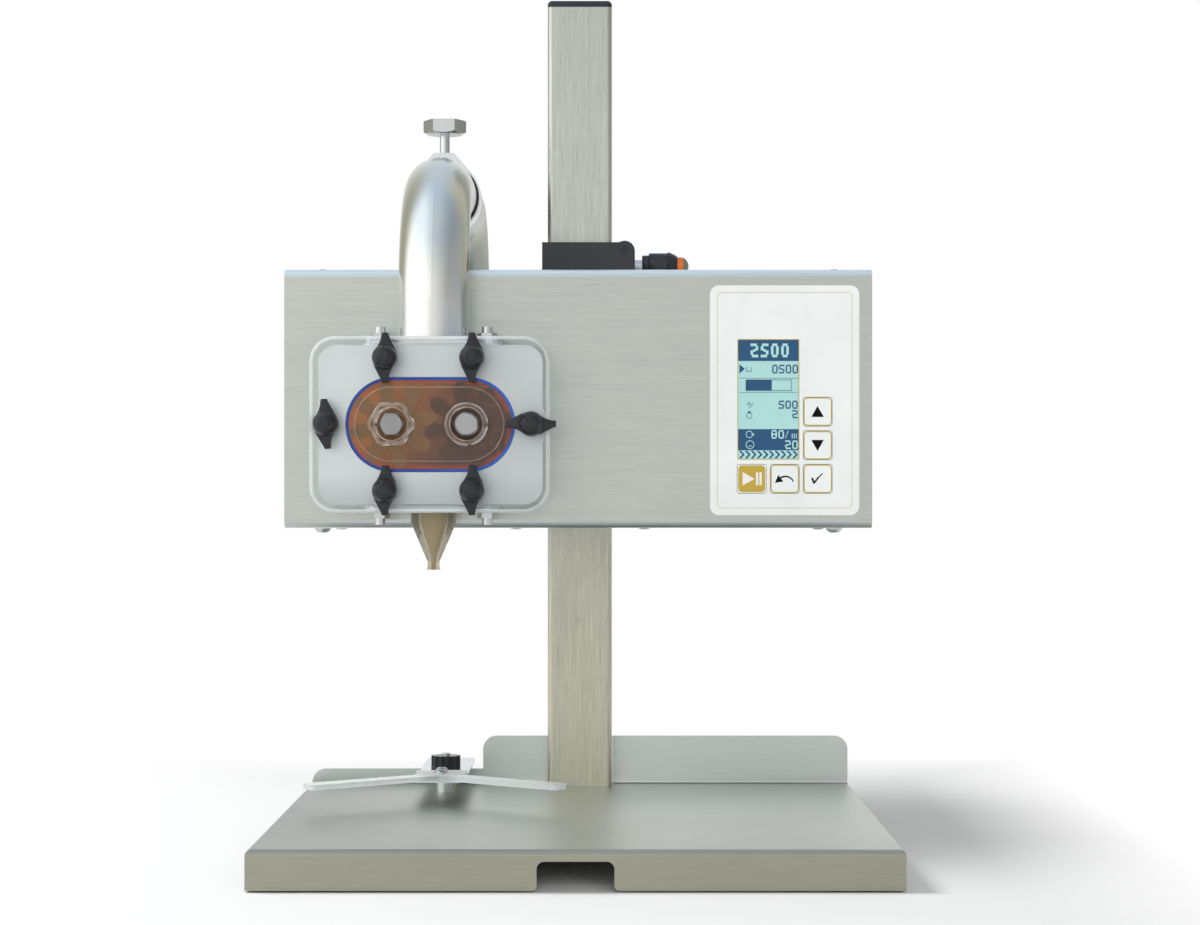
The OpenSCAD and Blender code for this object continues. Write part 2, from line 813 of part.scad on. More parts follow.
module housing_shell() {
    color(steel) {
        difference() {
            along_x(-head_w/2, head_w/2) difference() {
                shell_side(0);
                shell_side(head_sheet);
            }
            translate([0, column_y, 0]) along_z(head_z - 1, head_top + 1)
                square(column_hole, center = true);
            for (x = [-1, 1], y = screw_ys) translate([x*screw_x, y, 0]) {
                rod_z(screw_d/2 + seat_gap, head_z - 1, head_top + 1);
            }
            for (x = [-1, 1]) translate([x*guide_screw_x, column_y, 0]) {
                rod_z(screw_d/2 + seat_gap, head_z - 1, head_z + head_bend);
            }
            along_y(head_front - 1, head_front + head_bend) {
                translate([display_x, display_z])
                    square([display_w, display_h] + [1, 1], center = true);
                for (p = key_spots) translate(p) square(key_w + 1, center = true);
                translate([drive_x, pump_z]) circle(shaft_d);
                for (x = [-1, 1], z = [-1, 1])
                    translate([pump_x + x*bolt_dx, pump_z + z*bolt_dz])
                        circle(stud_d/2 + seat_gap);
            }
        }
        board_posts();
    }
}

// Welded posts that carry the control board
module board_posts() {
    for (x = [-1, 1], z = [-1, 1]) {
        translate([panel_x + x*(panel_w/2 - 4), 0, panel_z + z*(panel_h/2 - 12)])
            rod_y(3, head_front + head_sheet - eps, board_y);
    }
}

// Flat end panel with inward flanges at the top, bottom and rear
module side_panel(side) {
    inside = head_sheet + seat_gap;
    front = head_front + inside;
    rear = head_rear - head_sheet - seat_gap;
    low = head_z + inside;
    high = head_top - inside;
    r = head_bend - head_sheet;
    outer = head_w/2;
    color(steel) mirror([side < 0 ? 1 : 0, 0, 0]) difference() {
        union() {
            along_x(outer - head_sheet, outer) difference() {
                rect([front, low], [rear, high]);
                corner_cut([front, low], [1, 1], r);
                corner_cut([front, high], [1, -1], r);
            }
            for (z = [low, high - head_sheet]) {
                translate([outer - flange_w, front + r, z])
                    cube([flange_w - eps, rear - front - r, head_sheet]);
            }
            translate([outer - 18, rear - head_sheet, low + eps])
                cube([18 - eps, head_sheet, high - low - 2*eps]);
        }
        for (y = screw_ys) translate([screw_x, y, 0]) {
            rod_z(screw_d/2 + seat_gap, low - 1, high + 1);
        }
        for (z = rear_screw_zs) translate([rear_screw_x, 0, z]) {
            rod_y(2 + seat_gap, rear - head_sheet - 1, rear + 1);
        }
    }
}

module left_side_panel() {
    side_panel(-1);
}

module right_side_panel() {
    side_panel(1);
}

module rear_cover() {
    color(steel) difference() {
        along_y(head_rear - head_sheet, head_rear) difference() {
            rect([-inner_x, head_z + eps], [inner_x, head_top - eps]);
            for (i = [0 : vent_count - 1]) {
                translate([-column_w - 60, head_top - 40 - i*9]) slot(vent_l, 3);
            }
            for (x = [-1, 1], z = rear_screw_zs) {
                translate([x*rear_screw_x, z]) circle(2 + seat_gap);
            }
            translate([socket_x, socket_z]) square([socket_w, socket_h], center = true);
        }
    }
}

module housing_screws() {
    color(bright_steel) {
        for (x = [-1, 1], y = screw_ys) {
            translate([x*screw_x, y, head_top])
                button_screw(screw_d, low_head_d, low_head_h, 8);
            translate([x*screw_x, y, head_z]) mirror([0, 0, 1])
                button_screw(screw_d, button_d, button_h, 8);
        }
        for (x = [-1, 1]) translate([x*guide_screw_x, column_y, head_z]) mirror([0, 0, 1]) {
            button_screw(screw_d, button_d, button_h, 12);
        }
        for (x = [-1, 1], z = rear_screw_zs) {
            translate([x*rear_screw_x, head_rear, z]) rotate([-90, 0, 0])
                button_screw(4, 7.6, 2.2, 6);
        }
    }
}

// Plastic block on the housing's floor, which slides on the column
module column_guide() {
    color(black) translate([0, column_y, 0]) difference() {
        along_z(head_z + head_sheet, head_z + head_sheet + guide_h)
            rounded_rect(guide_w, column_hole + 2*guide_wall, 4);
        along_z(head_z, head_z + head_sheet + guide_h + 1) square(column_hole, center = true);
        for (x = [-1, 1]) translate([x*guide_screw_x, 0, 0]) {
            rod_z(screw_d/2 + seat_gap, head_z, head_z + head_sheet + 12);
        }
    }
}

module clamp_collar() {
    color(black) difference() {
        union() {
            along_y(clamp_front, clamp_front + clamp_d) {
                difference() {
                    rect([-clamp_left, head_top], [clamp_right, head_top + clamp_h]);
                    rect([bead_x, bead_z], [clamp_right + 1, head_top + clamp_h + 1]);
                }
                translate([bead_x, bead_z]) circle(bead_r);
            }
        }
        translate([0, column_y, 0]) along_z(head_top - 1, head_top + clamp_h + 5)
            square(column_hole, center = true);
        translate([0, column_y, lever_z]) {
            rod_x(clamp_screw_d/2 + turn_gap, column_w/2, clamp_right + 1);
            rod_x(clamp_screw_d/2 + 2, column_w/2, column_hole/2 + pad_t + face_gap);
        }
        translate([bead_x, 0, bead_z]) {
            rod_y(2.8, clamp_front - 1, clamp_front + 4);
            rod_y(1.5 + seat_gap, clamp_front, clamp_front + 18);
        }
    }
}

module clamp_pad() {
    color("goldenrod") translate([0, column_y, lever_z]) {
        rod_x(clamp_screw_d/2 + 2 - seat_gap, column_hole/2 + seat_gap, column_hole/2 + pad_t);
    }
}

module collar_screw() {
    color(black) translate([bead_x, clamp_front + 4, bead_z]) rotate([90, 0, 0]) difference() {
        union() {
            rod_z(2.7, 0, 3.4);
            rod_z(1.5, -12, eps);
        }
        translate([0, 0, 2]) cylinder(h = 3, r = 1.4, $fn = 6);
    }
}

// Front view of the body's rim, with an ear round each cover stud
module rim_outline() {
    rounded_rect(pump_w, pump_h, pump_r);
    for (s = knob_spots) translate([s.x, s.y]) circle(ear_r);
    for (z = [0, 1]) mirror([0, z]) for (x = [-1, 1]) {
        ear_fillets(x*knob_dx, knob_dz, pump_h/2);
    }
    for (turn = [90, -90]) rotate(turn) ear_fillets(0, knob_side, pump_w/2);
}

// Fillets beside an ear at [across, up], where it stands out of a straight edge at height edge
module ear_fillets(across, up, edge) {
    apart = ear_r + ear_fillet - bite;
    rise = edge + ear_fillet - up;
    run = sqrt(apart*apart - rise*rise);
    touch = [run, rise]*(ear_r - bite)/apart + [0, up];
    translate([across, 0]) for (side = [0, 1]) mirror([side, 0]) difference() {
        polygon([[0, edge - 2], [run, edge - 2], [run, edge], touch, [0, touch.y]]);
        translate([run, edge + ear_fillet]) circle(ear_fillet);
    }
}

// Outline of the two-rotor chamber, grown by extra
module chamber_shape(extra) {
    square([rotor_pitch, 2*(chamber_r + extra)], center = true);
    for (x = [-1, 1]) translate([x*rotor_pitch/2, 0]) circle(chamber_r + extra);
}

module pump_body() {
    color(satin) difference() {
        translate([pump_x, 0, pump_z]) {
            along_y(pump_face, pump_face + rim_t) rim_outline();
            along_y(pump_face + rim_t/2, head_front) rounded_rect(pump_w, pump_h, pump_r);
        }
        translate([pump_x, 0, pump_z]) {
            along_y(pump_face - 1, chamber_rear) chamber_shape(0);
            along_y(pump_face - 1, pump_face + seal_cord) chamber_shape(seal_cord + seat_gap/2);
            for (s = knob_spots) translate([s.x, 0, s.y]) {
                rod_y(stud_d/2 + turn_gap, pump_face - 1, pump_face + cover_stud_depth);
            }
            for (x = [-1, 1], z = [-1, 1]) {
                translate([x*bolt_dx, 0, z*bolt_dz])
                    rod_y(stud_d/2 + turn_gap, head_front - bolt_depth, head_front + 1);
                translate([x*port_stud_dx, port_y, z*pump_h/2])
                    rod_z(stud_d/2 + turn_gap, -port_stud_depth, port_stud_depth);
            }
            translate([0, port_y, 0]) {
                rod_z(inlet_bore/2, 0, pump_h/2 + 1);
                rod_z(outlet_bore/2, -pump_h/2 - 1, 0);
            }
        }
        translate([drive_x, 0, pump_z]) {
            rod_y(shaft_d/2 + turn_gap, chamber_rear - 1, head_front + 1);
            rod_y(shaft_d/2 + 5, head_front - 6, head_front + 1);
        }
        translate([idler_x, 0, pump_z])
            rod_y(pin_d/2 + turn_gap, chamber_rear - 1, head_front - 2);
    }
}

module pump_bolts() {
    plate_rear = head_front + head_sheet + motor_plate_t;
    color(bright_steel) for (x = [-1, 1], z = [-1, 1]) {
        translate([pump_x + x*bolt_dx, plate_rear, pump_z + z*bolt_dz]) rotate([-90, 0, 0]) {
            difference() {
                along_z(0, 4) hexagon(nut_af);
                along_z(3.6, 5) circle(nut_af*0.3);
            }
            rod_z(stud_d/2, head_front - bolt_depth + 1 - plate_rear, eps);
        }
    }
}

module pump_studs() {
    color(bright_steel) translate([pump_x, 0, pump_z]) {
        for (s = knob_spots) translate([s.x, 0, s.y]) {
            rod_y(stud_d/2, stud_tip, pump_face + cover_stud_depth - 0.5);
        }
        for (x = [-1, 1], z = [-1, 1]) translate([x*port_stud_dx, port_y, 0]) {
            mirror([0, 0, z < 0 ? 1 : 0]) rod_z(stud_d/2, pump_h/2 - port_stud_depth + 0.5,
                flange_top - pump_z + nut_h + 3.7);
        }
    }
}

module pump_cover() {
    color(clear) difference() {
        translate([pump_x, 0, pump_z]) {
            translate([0, pump_face, 0]) rotate([90, 0, 0]) {
                chamfered_plate(cover_w, cover_h, cover_r, cover_t, cover_chamfer);
                along_z(cover_t - eps, cover_t + window_h) chamber_shape(-window_step);
                translate([-rotor_pitch/2, 0, 0]) {
                    along_z(cover_t, cover_t + dome_h - 1.5) hexagon(dome_d);
                    intersection() {
                        along_z(cover_t, cover_t + dome_h) hexagon(dome_d);
                        translate([0, 0, cover_t + dome_h - 4])
                            cylinder(h = 4, r1 = dome_d/2 + 3.2, r2 = dome_d/2 - 0.8);
                    }
                }
                translate([rotor_pitch/2, 0, cover_t]) {
                    cylinder(h = dome_h - 1.5, r = dome_d/2);
                    translate([0, 0, dome_h - 1.5])
                        cylinder(h = 1.5, r1 = dome_d/2, r2 = dome_d/2 - 1.5);
                }
            }
        }
        for (x = [drive_x, idler_x]) translate([x, 0, pump_z]) {
            rod_y(dome_bore/2, cover_front - dome_h + 2, pump_face + 1);
        }
        for (s = knob_spots) translate([pump_x + s.x, 0, pump_z + s.y]) {
            rod_y(stud_d/2 + 0.3, cover_front - 1, pump_face + 1);
        }
    }
}

// Outline of a ring that lies round the chamber
module seal_ring(inset) {
    difference() {
        chamber_shape(seal_cord - inset);
        chamber_shape(inset);
    }
}

// Seal, widest at the middle of its cord
module cover_seal() {
    third = seal_cord/3;
    color(seal_blue) translate([pump_x, 0, pump_z]) {
        along_y(pump_face, pump_face + seal_cord) seal_ring(third/2);
        along_y(pump_face + third, pump_face + 2*third) seal_ring(0);
    }
}

module idler_pin() {
    color(bright_steel) translate([idler_x, 0, pump_z]) {
        rod_y(pin_d/2, shaft_tip + 1, head_front - 2.5);
        translate([0, shaft_tip, 0]) rotate([-90, 0, 0])
            cylinder(h = 1, r1 = pin_d/2 - 0.8, r2 = pin_d/2);
    }
}

module shaft_seal() {
    color("black") translate([drive_x, 0, pump_z]) difference() {
        rod_y(shaft_d/2 + 5 - turn_gap, head_front - 5.5, head_front - 0.3);
        rod_y(shaft_d/2 + turn_gap, head_front - 7, head_front + 1);
    }
}

// Flat outline of a port's flange and gasket, seen along the port
module port_flange_shape(bore) {
    difference() {
        rounded_rect(2*port_stud_dx + 2*nut_af*0.72, port_flange_d, 7);
        circle(bore/2);
        for (x = [-1, 1]) translate([x*port_stud_dx, 0]) circle(stud_d/2 + 0.3);
    }
}

module port_gaskets() {
    color("white") translate([pump_x, port_y, 0]) {
        along_z(flange_top - port_flange_t - gasket_t, flange_top - port_flange_t)
            port_flange_shape(inlet_bore);
        along_z(flange_bottom + port_flange_t, flange_bottom + port_flange_t + gasket_t)
            port_flange_shape(outlet_bore);
    }
}

module port_nuts() {
    color(bright_steel) for (x = [-1, 1], z = [flange_top, flange_bottom - nut_h]) {
        translate([pump_x + x*port_stud_dx, port_y, z]) nut(nut_af, nut_h, stud_d + 2*seat_gap);
    }
}

// Quarter of a pipe bend about the X axis: starts upward at the origin, ends to the rear
module quarter_bend(radius, outer, inner) {
    translate([0, radius, 0]) rotate([90, 0, 0]) rotate([0, -90, 0])
        rotate_extrude(angle = 90) translate([radius, 0]) difference() {
            circle(outer);
            circle(inner);
        }
}

module inlet_pipe() {
    inner = pipe_r - pipe_wall;
    level = pipe_z - bend_front;
    color(bright_steel) {
        translate([pump_x, port_y, 0]) difference() {
            union() {
                along_z(flange_top - port_flange_t, flange_top) port_flange_shape(inlet_bore);
                rod_z(pipe_r, flange_top - eps, level);
            }
            rod_z(inner, flange_top, level + 1);
            rod_z(inlet_bore/2, flange_top - 1, flange_top + 1);
        }
        translate([pump_x, port_y, level]) quarter_bend(bend_front, pipe_r, inner);
        translate([pump_x, 0, pipe_z]) difference() {
            rod_y(pipe_r, bend_start_y, joint_y + joint_overlap);
            rod_y(inner, bend_start_y - 1, joint_y + joint_overlap + 1);
        }
    }
}

module pipe_o_ring() {
    color("black") translate([pump_x, joint_y, pipe_z]) rotate([90, 0, 0])
        rotate_extrude() translate([pipe_r + ring_cord/2 + eps, 0]) circle(ring_cord/2 - eps, $fn = 24);
}

module nozzle() {
    shoulder = flange_bottom - nozzle_body;
    cone_end = shoulder - nozzle_cone;
    top = flange_bottom + port_flange_t;
    color(smoky) translate([pump_x, port_y, 0]) {
        along_z(flange_bottom, top) port_flange_shape(outlet_bore);
        rotate_extrude() polygon([[outlet_bore/2, flange_bottom + eps], [nozzle_d/2, flange_bottom + eps],
            [nozzle_d/2, shoulder + 1.5], [nozzle_d/2 - 0.4, shoulder - 0.6],
            [tip_d/2, cone_end], [tip_d/2, cone_end - tip_l + 1.6],
            [tip_d/2 + 0.5, cone_end - tip_l + 0.8], [tip_d/2 + 0.3, cone_end - tip_l],
            [tip_bore/2, cone_end - tip_l], [tip_bore/2, cone_end + 2],
            [outlet_bore/2, shoulder]]);
    }
}

module motor_plate() {
    front = head_front + head_sheet;
    color(steel) difference() {
        along_y(front, front + motor_plate_t) difference() {
            translate([pump_x, pump_z]) rounded_rect(pump_w, pump_h, 6);
            translate([drive_x, pump_z]) circle(shaft_d);
            for (x = [-1, 1], z = [-1, 1]) {
                translate([pump_x + x*bolt_dx, pump_z + z*bolt_dz]) circle(stud_d/2 + seat_gap);
            }
        }
    }
}

module gearbox() {
    color([0.55, 0.56, 0.58]) translate([drive_x, 0, pump_z]) difference() {
        union() {
            rod_y(gearbox_d/2, gearbox_front, gearbox_front + gearbox_l);
            rod_y(shaft_d - 1, head_front + head_sheet, gearbox_front + eps);
        }
        rod_y(shaft_d/2 + turn_gap, head_front, gearbox_front + 22);
    }
}

module motor() {
    front = gearbox_front + gearbox_l;
    color(black) translate([drive_x, 0, pump_z]) {
        rod_y(motor_d/2, front, front + motor_l);
        rod_y(motor_d/4, front + motor_l - eps, front + motor_l + 8);
    }
}

module control_panel() {
    color("white") along_y(head_front - panel_t, head_front) difference() {
        translate([panel_x, panel_z]) rounded_rect(panel_w, panel_h, panel_r);
        translate([display_x, display_z])
            square([display_w, display_h] + 2*[seat_gap, seat_gap], center = true);
        for (p = key_spots) translate(p) rounded_rect(key_w + 0.6, key_w + 0.6, 1.6);
    }
}

module display_module() {
    color([0.7, 0.88, 0.88]) {
        along_y(head_front - panel_t + 0.1, board_y) translate([display_x, display_z])
            square([display_w, display_h], center = true);
    }
}

module control_board() {
    switch_l = board_y - key_front - key_t - 3 - key_travel - 0.2;
    color([0.1, 0.4, 0.25]) {
        along_y(board_y, board_y + 1.6) translate([panel_x, panel_z])
            rounded_rect(panel_w - 2, panel_h - 6, 2);
        for (p = key_spots) {
            along_y(board_y - switch_l, board_y + eps) translate(p) square(6, center = true);
        }
    }
}

// Sprung key with a stem that reaches its switch
module key(i) {
    color([0.93, 0.95, 0.94]) {
        along_y(key_front, key_front + key_t) translate(key_spots[i])
            rounded_rect(key_w, key_w, 1.3);
        translate([key_spots[i].x, 0, key_spots[i].y])
            rod_y(2, key_front + key_t - eps, key_front + key_t + 3);
    }
}

module power_supply() {
    size = [supply_w, supply_d, supply_h];
    corner = [head_w/2 - flange_w - 2 - size.x, column_y - supply_reach, head_z + head_sheet];
    color([0.7, 0.72, 0.74]) translate(corner) difference() {
        cube(size);
        for (i = [0 : 4]) translate([-1, 10 + i*9, size.z - 5]) cube([size.x + 2, 3, 6]);
    }
}

module power_inlet() {
    color(black) translate([socket_x, head_rear, socket_z]) difference() {
        union() {
            along_y(0, 2.5) rounded_rect(socket_w + 2*socket_rim, socket_h + 2*socket_rim, 4);
            along_y(-28, eps)
                square([socket_w, socket_h] - 2*[seat_gap, seat_gap], center = true);
        }
        along_y(-16, 4) translate([0, -10]) difference() {
            square([24.5, 17], center = true);
            for (s = [-1, 1]) corner_cut([s*12.25, 8.5], [-s, -1], 4);
        }
        along_y(-12, 4) translate([0, 12]) square([20, 14], center = true);
    }
    color(bright_steel) translate([socket_x, head_rear - 16.5, socket_z - 10]) {
        for (p = [[-7, -2], [0, 2], [7, -2]]) translate([p.x - 1, 0, p.y - 2]) cube([2, 13, 4]);
    }
}

// Rocker of the mains switch, pressed in at its upper half
module power_rocker() {
    color([0.7, 0.1, 0.08]) translate([socket_x, head_rear - 3, socket_z + 12]) rotate([8, 0, 0]) {
        along_x(-9.6, 9.6) difference() {
            rect([-3, -6.2], [5, 6.2]);
            translate([27, 0]) circle(23, $fn = 96);
        }
    }
}

// Involute of an angle, in degrees
function involute(a) = tan(a)*180/PI - a;
// Half the angle of a lobe at radius r, on its involute flank
function half_lobe(r) = tooth_pitch/4 - flank_play + involute(pressure)
    - involute(acos(min(1, base_circle/r)));
function polar(r, a) = [r*cos(a), r*sin(a)];

// One rotor seen from the front, its first lobe at the angle phase
module rotor_shape(phase) {
    shoulder_r = rotor_r - 0.9;
    radii = [for (i = [0 : flank_steps]) base_circle + i*(shoulder_r - base_circle)/flank_steps];
    tip = half_lobe(shoulder_r);
    difference() {
        polygon([for (n = [0 : lobes - 1]) let (a = phase + n*tooth_pitch) each concat(
            [polar(root_r, a - tooth_pitch/2), polar(root_r, a - half_lobe(base_circle))],
            [for (r = radii) polar(r, a - half_lobe(r))],
            [polar(rotor_r - 0.3, a - tip*0.62), polar(rotor_r, a - tip*0.25),
                polar(rotor_r, a + tip*0.25), polar(rotor_r - 0.3, a + tip*0.62)],
            [for (i = [flank_steps : -1 : 0]) polar(radii[i], a + half_lobe(radii[i]))],
            [polar(root_r, a + half_lobe(base_circle))])]);
        for (n = [0 : lobes - 1]) rotate(phase + (n + 0.5)*tooth_pitch) {
            translate([hollow_at, 0]) circle(hollow_r, $fn = 24);
        }
    }
}

module drive_rotor() {
    color([0.8, 0.78, 0.72]) translate([drive_x, 0, pump_z]) {
        along_y(pump_face + face_gap, chamber_rear - face_gap) difference() {
            rotor_shape(rotor_phase);
            hexagon(hex_af + 2*turn_gap);
        }
    }
}

module drive_shaft() {
    color(bright_steel) translate([drive_x, 0, pump_z]) {
        along_y(shaft_tip + 0.8, chamber_rear - face_gap) hexagon(hex_af);
        intersection() {
            along_y(shaft_tip, shaft_tip + 1) hexagon(hex_af);
            translate([0, shaft_tip, 0]) rotate([-90, 0, 0])
                cylinder(h = 2, r1 = hex_af/2 - 0.2, r2 = hex_af/2 + 1.8);
        }
        rod_y(shaft_d/2, chamber_rear - face_gap - eps, gearbox_front + 20);
    }
}

module idler_rotor() {
    color([0.8, 0.78, 0.72]) translate([idler_x, 0, pump_z]) {
        along_y(pump_face + face_gap, chamber_rear - face_gap) difference() {
            rotor_shape(idler_phase);
            circle(pin_d/2 + turn_gap);
        }
    }
}

// Point where a line from p touches a circle of radius r round the origin, on the right
function tangent_point(p, r) =
    let (d = norm(p), a = atan2(p.y, p.x) - acos(r/d)) [r*cos(a), r*sin(a)];

// One wing seen from above: straight on its right side, hollow on its left side
module wing_shape() {
    hub = knob_hub/2;
    tip = [knob_tip/2, knob_l/2];
    left = [-tip.x, tip.y];
    root = polar(hub - 2*bite, 160);
    sweep = 20;
    gap = norm(left - root);
    mid = (left + root)/2;
    along = (left - root)/gap;
    centre = mid + [-along.y, along.x]*sqrt(sweep*sweep - gap*gap/4);
    difference() {
        polygon([[0, 0], tangent_point(tip, hub - bite), tip, left, root]);
        translate(centre) circle(sweep, $fn = 120);
    }
}

module wing_knob(i) {
    hub = knob_hub/2;
    spot = knob_spots[i];
    color(black) translate([pump_x + spot.x, cover_front - face_gap, pump_z + spot.y])
        rotate([90, 0, 0]) rotate(spot.z) difference() {
            union() {
                rotate_extrude() polygon([[0, 0], [hub - 0.6, 0], [hub - 0.6, knob_foot],
                    [hub, knob_foot], [hub, knob_h*0.64], [hub*0.96, knob_h*0.73],
                    [hub*0.84, knob_h*0.84], [hub*0.66, knob_h*0.93], [hub*0.41, knob_h*0.98],
                    [hub*0.38, knob_h], [0, knob_h]]);
                along_z(knob_foot, knob_h*0.6) for (turn = [0, 180]) rotate(turn) wing_shape();
            }
            rod_z(stud_d/2 + turn_gap, -1, cover_front - stud_tip + 1.5);
        }
}

// Ring with a flat boss at its top, blended by straight sides
module collar_shape() {
    corner = [boss_w/2, boss_h];
    touch = tangent_point(corner, collar_r - bite);
    circle(collar_r);
    polygon([[0, 0], touch, corner, [-corner.x, corner.y], [-touch.x, touch.y]]);
}

module swivel_collar() {
    front = joint_y + ring_cord/2;
    color(bright_steel) translate([pump_x, 0, pipe_z]) difference() {
        along_y(front, front + collar_l) collar_shape();
        rod_y(sleeve_r, front - 1, front + collar_l + 1);
        translate([0, lock_y, 0]) rod_z(lock_d/2 + turn_gap, pipe_r - 2, boss_h + 1);
    }
}

module inlet_elbow() {
    front = joint_y + ring_cord/2 + collar_l;
    leg_top = pipe_z - bend_rear;
    leg_end = leg_top - elbow_leg;
    color(bright_steel) {
        translate([pump_x, 0, pipe_z]) difference() {
            rod_y(elbow_r, front, rear_bend_y);
            rod_y(sleeve_r, front - 1, rear_bend_y + 1);
        }
        translate([pump_x, rear_leg_y, leg_top]) mirror([0, 1, 0])
            quarter_bend(bend_rear, elbow_r, sleeve_r);
        translate([pump_x, rear_leg_y, 0]) difference() {
            rod_z(elbow_r, leg_end, leg_top);
            rod_z(sleeve_r, leg_end - 1, leg_top + 1);
        }
    }
}

module lock_screw() {
    color(bright_steel) translate([pump_x, lock_y, 0]) {
        rod_z(lock_d/2, pipe_z + pipe_r + slide_gap, lock_under + eps);
        intersection() {
            along_z(lock_under, lock_under + lock_head) hexagon(lock_af);
            union() {
                rod_z(lock_af, lock_under + 2, lock_under + lock_head - 0.6);
                translate([0, 0, lock_under])
                    cylinder(h = 2, r1 = lock_af/2 - 0.6, r2 = lock_af/2 + 2.4);
                translate([0, 0, lock_under + lock_head - 0.6])
                    cylinder(h = 0.6, r1 = lock_af/2 + 1.8, r2 = lock_af/2 + 1);
            }
        }
    }
}

module clamp_lever() {
    hub = hub_d/2;
    grip_x = hub_x + 12;
    color(black) translate([0, column_y, lever_z]) difference() {
        union() {
            translate([hub_x, 0, 0]) rotate([0, 90, 0]) rotate_extrude() polygon([[0, 0],
                [hub - 1.4, 0], [hub - 1.4, 4.2], [hub, 4.2], [hub, 16], [hub + 0.7, 16.6],
                [hub + 0.3, 17.6], [hub - 2, 22.2], [0, 22.2]]);
            hull() {
                translate([grip_x - 1, 4, 0]) sphere(r = hub*0.62, $fn = 24);
                translate([grip_x + 4, lever_l*0.5, 0]) sphere(r = hub*0.5, $fn = 24);
            }
            hull() {
                translate([grip_x + 4, lever_l*0.5, 0]) sphere(r = hub*0.5, $fn = 24);
                translate([grip_x + 8, lever_l - hub*0.66, 0]) sphere(r = hub*0.66, $fn = 24);
            }
        }
        rod_x(clamp_screw_d/2 + seat_gap, hub_x - 1, hub_x + 14);
        rod_x(hub*0.7 + turn_gap, hub_x + 15, hub_x + 23);
    }
}

module clamp_stud() {
    color(bright_steel) translate([0, column_y, lever_z]) {
        rod_x(clamp_screw_d/2, column_hole/2 + pad_t + face_gap + 0.1, hub_x + 13.5);
    }
}

// Push button in the end of the lever, with a domed cap
module lever_button() {
    r = hub_d/2*0.7;
    color([0.95, 0.38, 0.08]) translate([hub_x + 15 + button_travel + 0.3, column_y, lever_z])
        rotate([0, 90, 0]) rotate_extrude() polygon([[0, 0], [r, 0], [r, 10.4 - button_travel],
            [r*0.9, 11.4 - button_travel], [r*0.66, 12.8 - button_travel],
            [r*0.36, 13.7 - button_travel], [0, 14 - button_travel]]);
}

base_plate();
column();
column_cap();
stud_nuts();
rubber_feet();
stop_pillars();
jar_stop_plate();
jar_stop_strip();
jar_stop_screws();
thumb_nut();
housing_shell();
left_side_panel();
right_side_panel();
rear_cover();
housing_screws();
column_guide();
clamp_collar();
clamp_pad();
collar_screw();
pump_body();
pump_bolts();
pump_studs();
pump_cover();
cover_seal();
idler_pin();
shaft_seal();
port_gaskets();
port_nuts();
inlet_pipe();
pipe_o_ring();
nozzle();
motor_plate();
gearbox();
motor();
control_panel();
display_module();
control_board();
power_supply();
power_inlet();
drive_rotor();
drive_shaft();
idler_rotor();
wing_knob(0);  // knob_upper_left
wing_knob(1);  // knob_upper_right
wing_knob(2);  // knob_lower_left
wing_knob(3);  // knob_lower_right
wing_knob(4);  // knob_side_left
wing_knob(5);  // knob_side_right
swivel_collar();
inlet_elbow();
lock_screw();
clamp_lever();
clamp_stud();
lever_button();
key(0);  // key_up
key(1);  // key_down
key(2);  // key_start
key(3);  // key_back
key(4);  // key_confirm
power_rocker();
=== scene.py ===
"""Looks of a bench-top honey filling machine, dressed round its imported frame.

Metres, Z up, the machine's front towards -Y. The frame's nodes give every place.
"""

import json
import math
from contextlib import contextmanager

import bmesh
import bpy
from mathutils import Matrix, Vector


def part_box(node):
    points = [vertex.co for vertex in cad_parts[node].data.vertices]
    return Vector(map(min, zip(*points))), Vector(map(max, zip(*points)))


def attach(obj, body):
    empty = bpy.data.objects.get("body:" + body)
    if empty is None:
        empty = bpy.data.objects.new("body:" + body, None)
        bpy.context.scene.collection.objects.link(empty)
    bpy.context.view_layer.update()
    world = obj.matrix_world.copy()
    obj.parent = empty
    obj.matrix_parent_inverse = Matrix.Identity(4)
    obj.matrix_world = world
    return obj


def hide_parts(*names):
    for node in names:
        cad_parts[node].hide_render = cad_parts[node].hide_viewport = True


bl_info = {
    "name": "Honey Filling Machine",
    "version": (1, 0, 0),
    "blender": (4, 5, 0),
    "location": "View3D > Sidebar > Filler",
    "description": "Finishes and fine pieces for a bench-top honey filling machine",
    "category": "Object",
}

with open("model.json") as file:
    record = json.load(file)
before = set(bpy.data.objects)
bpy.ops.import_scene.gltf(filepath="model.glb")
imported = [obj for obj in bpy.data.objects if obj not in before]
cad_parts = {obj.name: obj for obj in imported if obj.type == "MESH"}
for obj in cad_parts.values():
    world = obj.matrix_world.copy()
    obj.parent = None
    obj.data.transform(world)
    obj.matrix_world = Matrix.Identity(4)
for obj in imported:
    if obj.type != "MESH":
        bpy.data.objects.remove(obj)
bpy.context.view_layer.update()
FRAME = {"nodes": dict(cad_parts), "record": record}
MM = 0.001
FRONT, RIGHT, UP = Vector((0, -1, 0)), Vector((1, 0, 0)), Vector((0, 0, 1))
UPRIGHT = (math.radians(90), 0, 0)  # the turn that stands a flat form up, its face to the front
X, Y, Z = range(3)


def extent(node):
    """Lowest corner, highest corner and middle of a node."""
    low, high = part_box(node)
    return low, high, (low + high) / 2


